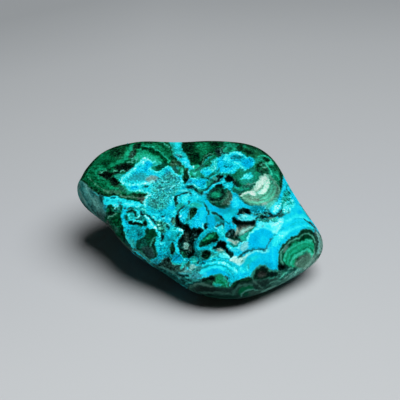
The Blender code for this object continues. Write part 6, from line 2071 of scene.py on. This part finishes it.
def shade(level, deep, light, late):
    """Everyday colour of a mineral at a level of brightness."""
    deep, light = np.array(deep, dtype=float), np.array(light, dtype=float)
    if level <= DEEP_LEVEL:
        return INK + (deep - INK) * level / DEEP_LEVEL
    if level <= LIGHT_LEVEL:
        return deep + (light - deep) * (level - DEEP_LEVEL) / (LIGHT_LEVEL - DEEP_LEVEL)
    return pale_shade(level, light, late)


def shades(mineral):
    """Stops of a mineral's ramp: the tone and the colour of each level."""
    return [(level / 255.0, shade(level, *mineral)) for level in LEVELS]


def mineral_colour(tree, tone, hue, grey):
    """Colour of a tone on the ramps of its hue and of grey."""
    sky, *others, neutral = [tree.ramp(tone, shades(mineral)) for mineral in (*MINERALS, GREY)]
    colour = sky
    for step, ramp in enumerate(others):
        colour = tree.mix(tree.fit(hue, step, step + 1.0), colour, ramp)
    colour = tree.mix(grey, colour, neutral)
    # Painted light and painted shade: the colour scaled by the factor stored on the vertices.
    scaled = tree.add("ShaderNodeVectorMath", {0: colour, "Scale": tree.field("painted_light_gain")}, operation="SCALE")
    return scaled.outputs[0]


def stone_material():
    """Polished chrysocolla and malachite, coloured by the fields on the vertices."""
    material = bpy.data.materials.new("polished_chrysocolla")
    tree = NodeTree(material)
    place = tree.place()
    ring, hidden, grain = (tree.field(name) for name in ("ring", "hidden", "grain"))

    ball, ball_tone, ragged = hidden_ball(tree, place, ring)
    blue_tone, blue_hue = hidden_blue(tree, place, ring, ragged)
    tone = tree.blend(hidden, tree.field("tone"), tree.blend(ball, blue_tone, ball_tone))
    hue = tree.blend(hidden, tree.field("hue"), tree.blend(ball, blue_hue, BALL_HUE))
    grey = tree.blend(hidden, tree.field("grey"), HIDDEN_GREY)

    fine = tree.noise(place, *NOISES["fine grain"])
    coarse = tree.noise(place, *NOISES["coarse grain"])
    tone = tree.plus(tone, FINE_STRENGTH, tree.times(fine, grain))
    tone = tree.plus(tone, COARSE_STRENGTH, tree.times(coarse, grain))
    tone = with_threads(tree, place, tone, hue, grain)
    hue = tree.plus(hue, tree.times(grain, HUE_STRENGTH), tree.noise(place, *NOISES["grain hue"]))
    tree.set("Base Color", mineral_colour(tree, tone, hue, grey))

    tree.set("Roughness", tree.plus(tree.plus(ROUGH_LEAST, ROUGH_GRAIN, grain), ROUGH_COARSE, coarse))
    height = tree.times(fine, tree.plus(BUMP_LEAST, BUMP_GRAIN, grain))
    bump = tree.add("ShaderNodeBump", {"Height": height, "Strength": BUMP_STRENGTH, "Distance": BUMP_METRES})
    tree.set("Normal", bump.outputs["Normal"])
    tree.set("Specular IOR Level", tree.times(hidden, HIDDEN_GLOSS))
    return material


# Floor: half its side, then where its painted shading starts and ends, in metres from the stone to the back.
FLOOR_HALF_SIDE = 3.0
FLOOR_NEAR = -0.1
FLOOR_FAR = 0.2
# To the left of this place the painted shading also darkens the floor sideways, by this share.
FLOOR_LEFT = -0.02
FLOOR_LEFT_SHARE = 0.5
FLOOR_STOPS = (
    (0.0, (206, 210, 213)), (0.2, (199, 203, 206)), (0.42, (188, 192, 196)), (0.65, (177, 181, 184)),
    (0.8, (168, 172, 175)), (0.92, (156, 160, 163)), (1.0, (148, 152, 155)),
)
FLOOR_ROUGHNESS = 0.9
FLOOR_GLOSS = 0.1


def floor_material():
    """Plain pale sheet with painted shading: it grows darker with distance and to the left."""
    material = bpy.data.materials.new("pale_floor")
    tree = NodeTree(material)
    split = tree.add("ShaderNodeSeparateXYZ", {"Vector": tree.place()})
    leftward = tree.math("MAXIMUM", tree.math("SUBTRACT", FLOOR_LEFT, split.outputs["X"]), 0.0)
    along = tree.plus(split.outputs["Y"], FLOOR_LEFT_SHARE, leftward)
    tree.set("Base Color", tree.ramp(tree.fit(along, FLOOR_NEAR, FLOOR_FAR), FLOOR_STOPS))
    tree.set("Roughness", FLOOR_ROUGHNESS)
    tree.set("Specular IOR Level", FLOOR_GLOSS)
    return material


# ---------------------------------------------------------------- the scene
def linked(name, data):
    """New object with the given data, in the scene."""
    thing = bpy.data.objects.new(name, data)
    bpy.context.scene.collection.objects.link(thing)
    return thing


def set_fields(mesh, fields):
    """Store each field as a number on every vertex."""
    for name, values in fields.items():
        attribute = mesh.attributes.new(name, "FLOAT", "POINT")
        attribute.data.foreach_set("value", values.astype(np.float32))


def make_stone():
    """The stone's skin, carved, painted and set on its body in place of the solid."""
    mesh = fine_mesh(cage_in_frame())
    places = vertex_array(mesh)
    normals = vertex_normals(mesh)
    facing = photo_facing(places, normals)
    seen = seen_share(places, facing)
    carved = np.clip(facing / CARVED_WELL, 0.0, 1.0)
    pixels = photo_pixels(places)
    places += normals * (swelling(pixels, facing) - relief(pixels, places) * carved)[:, None]
    fields = paint(photo_pixels(places), places)
    fields["hidden"] = 1.0 - seen
    # Painted light and painted shade, stored as a factor on the colour.
    fields["painted_light_gain"] = painted_light_and_shade(normals, seen)
    fields["ring"] = ball_rings(places)
    set_fields(mesh, fields)
    mesh.vertices.foreach_set("co", (places * MM).ravel())
    mesh.shade_smooth()
    mesh.materials.append(stone_material())
    stone = linked("stone_skin", mesh)
    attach(stone, "root")
    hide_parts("stone")


def make_floor():
    """Wide level sheet under the stone."""
    mesh = bpy.data.meshes.new("floor")
    sheet = bmesh.new()
    bmesh.ops.create_grid(sheet, x_segments=1, y_segments=1, size=FLOOR_HALF_SIDE)
    sheet.to_mesh(mesh)
    sheet.free()
    mesh.materials.append(floor_material())
    floor = linked("floor", mesh)


def make_key():
    """Wide soft lamp, far away above the stone and to its right."""
    lamp = bpy.data.lights.new("key", "SUN")
    lamp.angle = KEY_ANGLE
    lamp.energy = KEY_POWER
    light = linked("key", lamp)
    light.location = KEY_WAY
    light.rotation_euler = (-KEY_WAY).to_track_quat("-Z", "Y").to_euler()


def make_camera():
    """Camera at the photo's viewing angle."""
    eye, right, up, back = photo_axes()
    lens = bpy.data.cameras.new("camera")
    lens.sensor_fit = "HORIZONTAL"
    lens.angle = PHOTO_FIELD
    camera = linked("camera", lens)
    turn = Matrix((right, up, back)).transposed().to_4x4()
    camera.matrix_world = Matrix.Translation(eye * MM) @ turn
    bpy.context.scene.camera = camera


def make_world():
    """Faint even light from all round."""
    world = bpy.data.worlds.new("studio")
    world.use_nodes = True
    background = world.node_tree.nodes["Background"]
    background.inputs["Color"].default_value = srgb(*STUDIO_COLOUR)
    background.inputs["Strength"].default_value = STUDIO_STRENGTH
    bpy.context.scene.world = world


bpy.context.scene.view_settings.view_transform = "Standard"
make_floor()
make_world()
make_camera()
make_key()
make_stone()
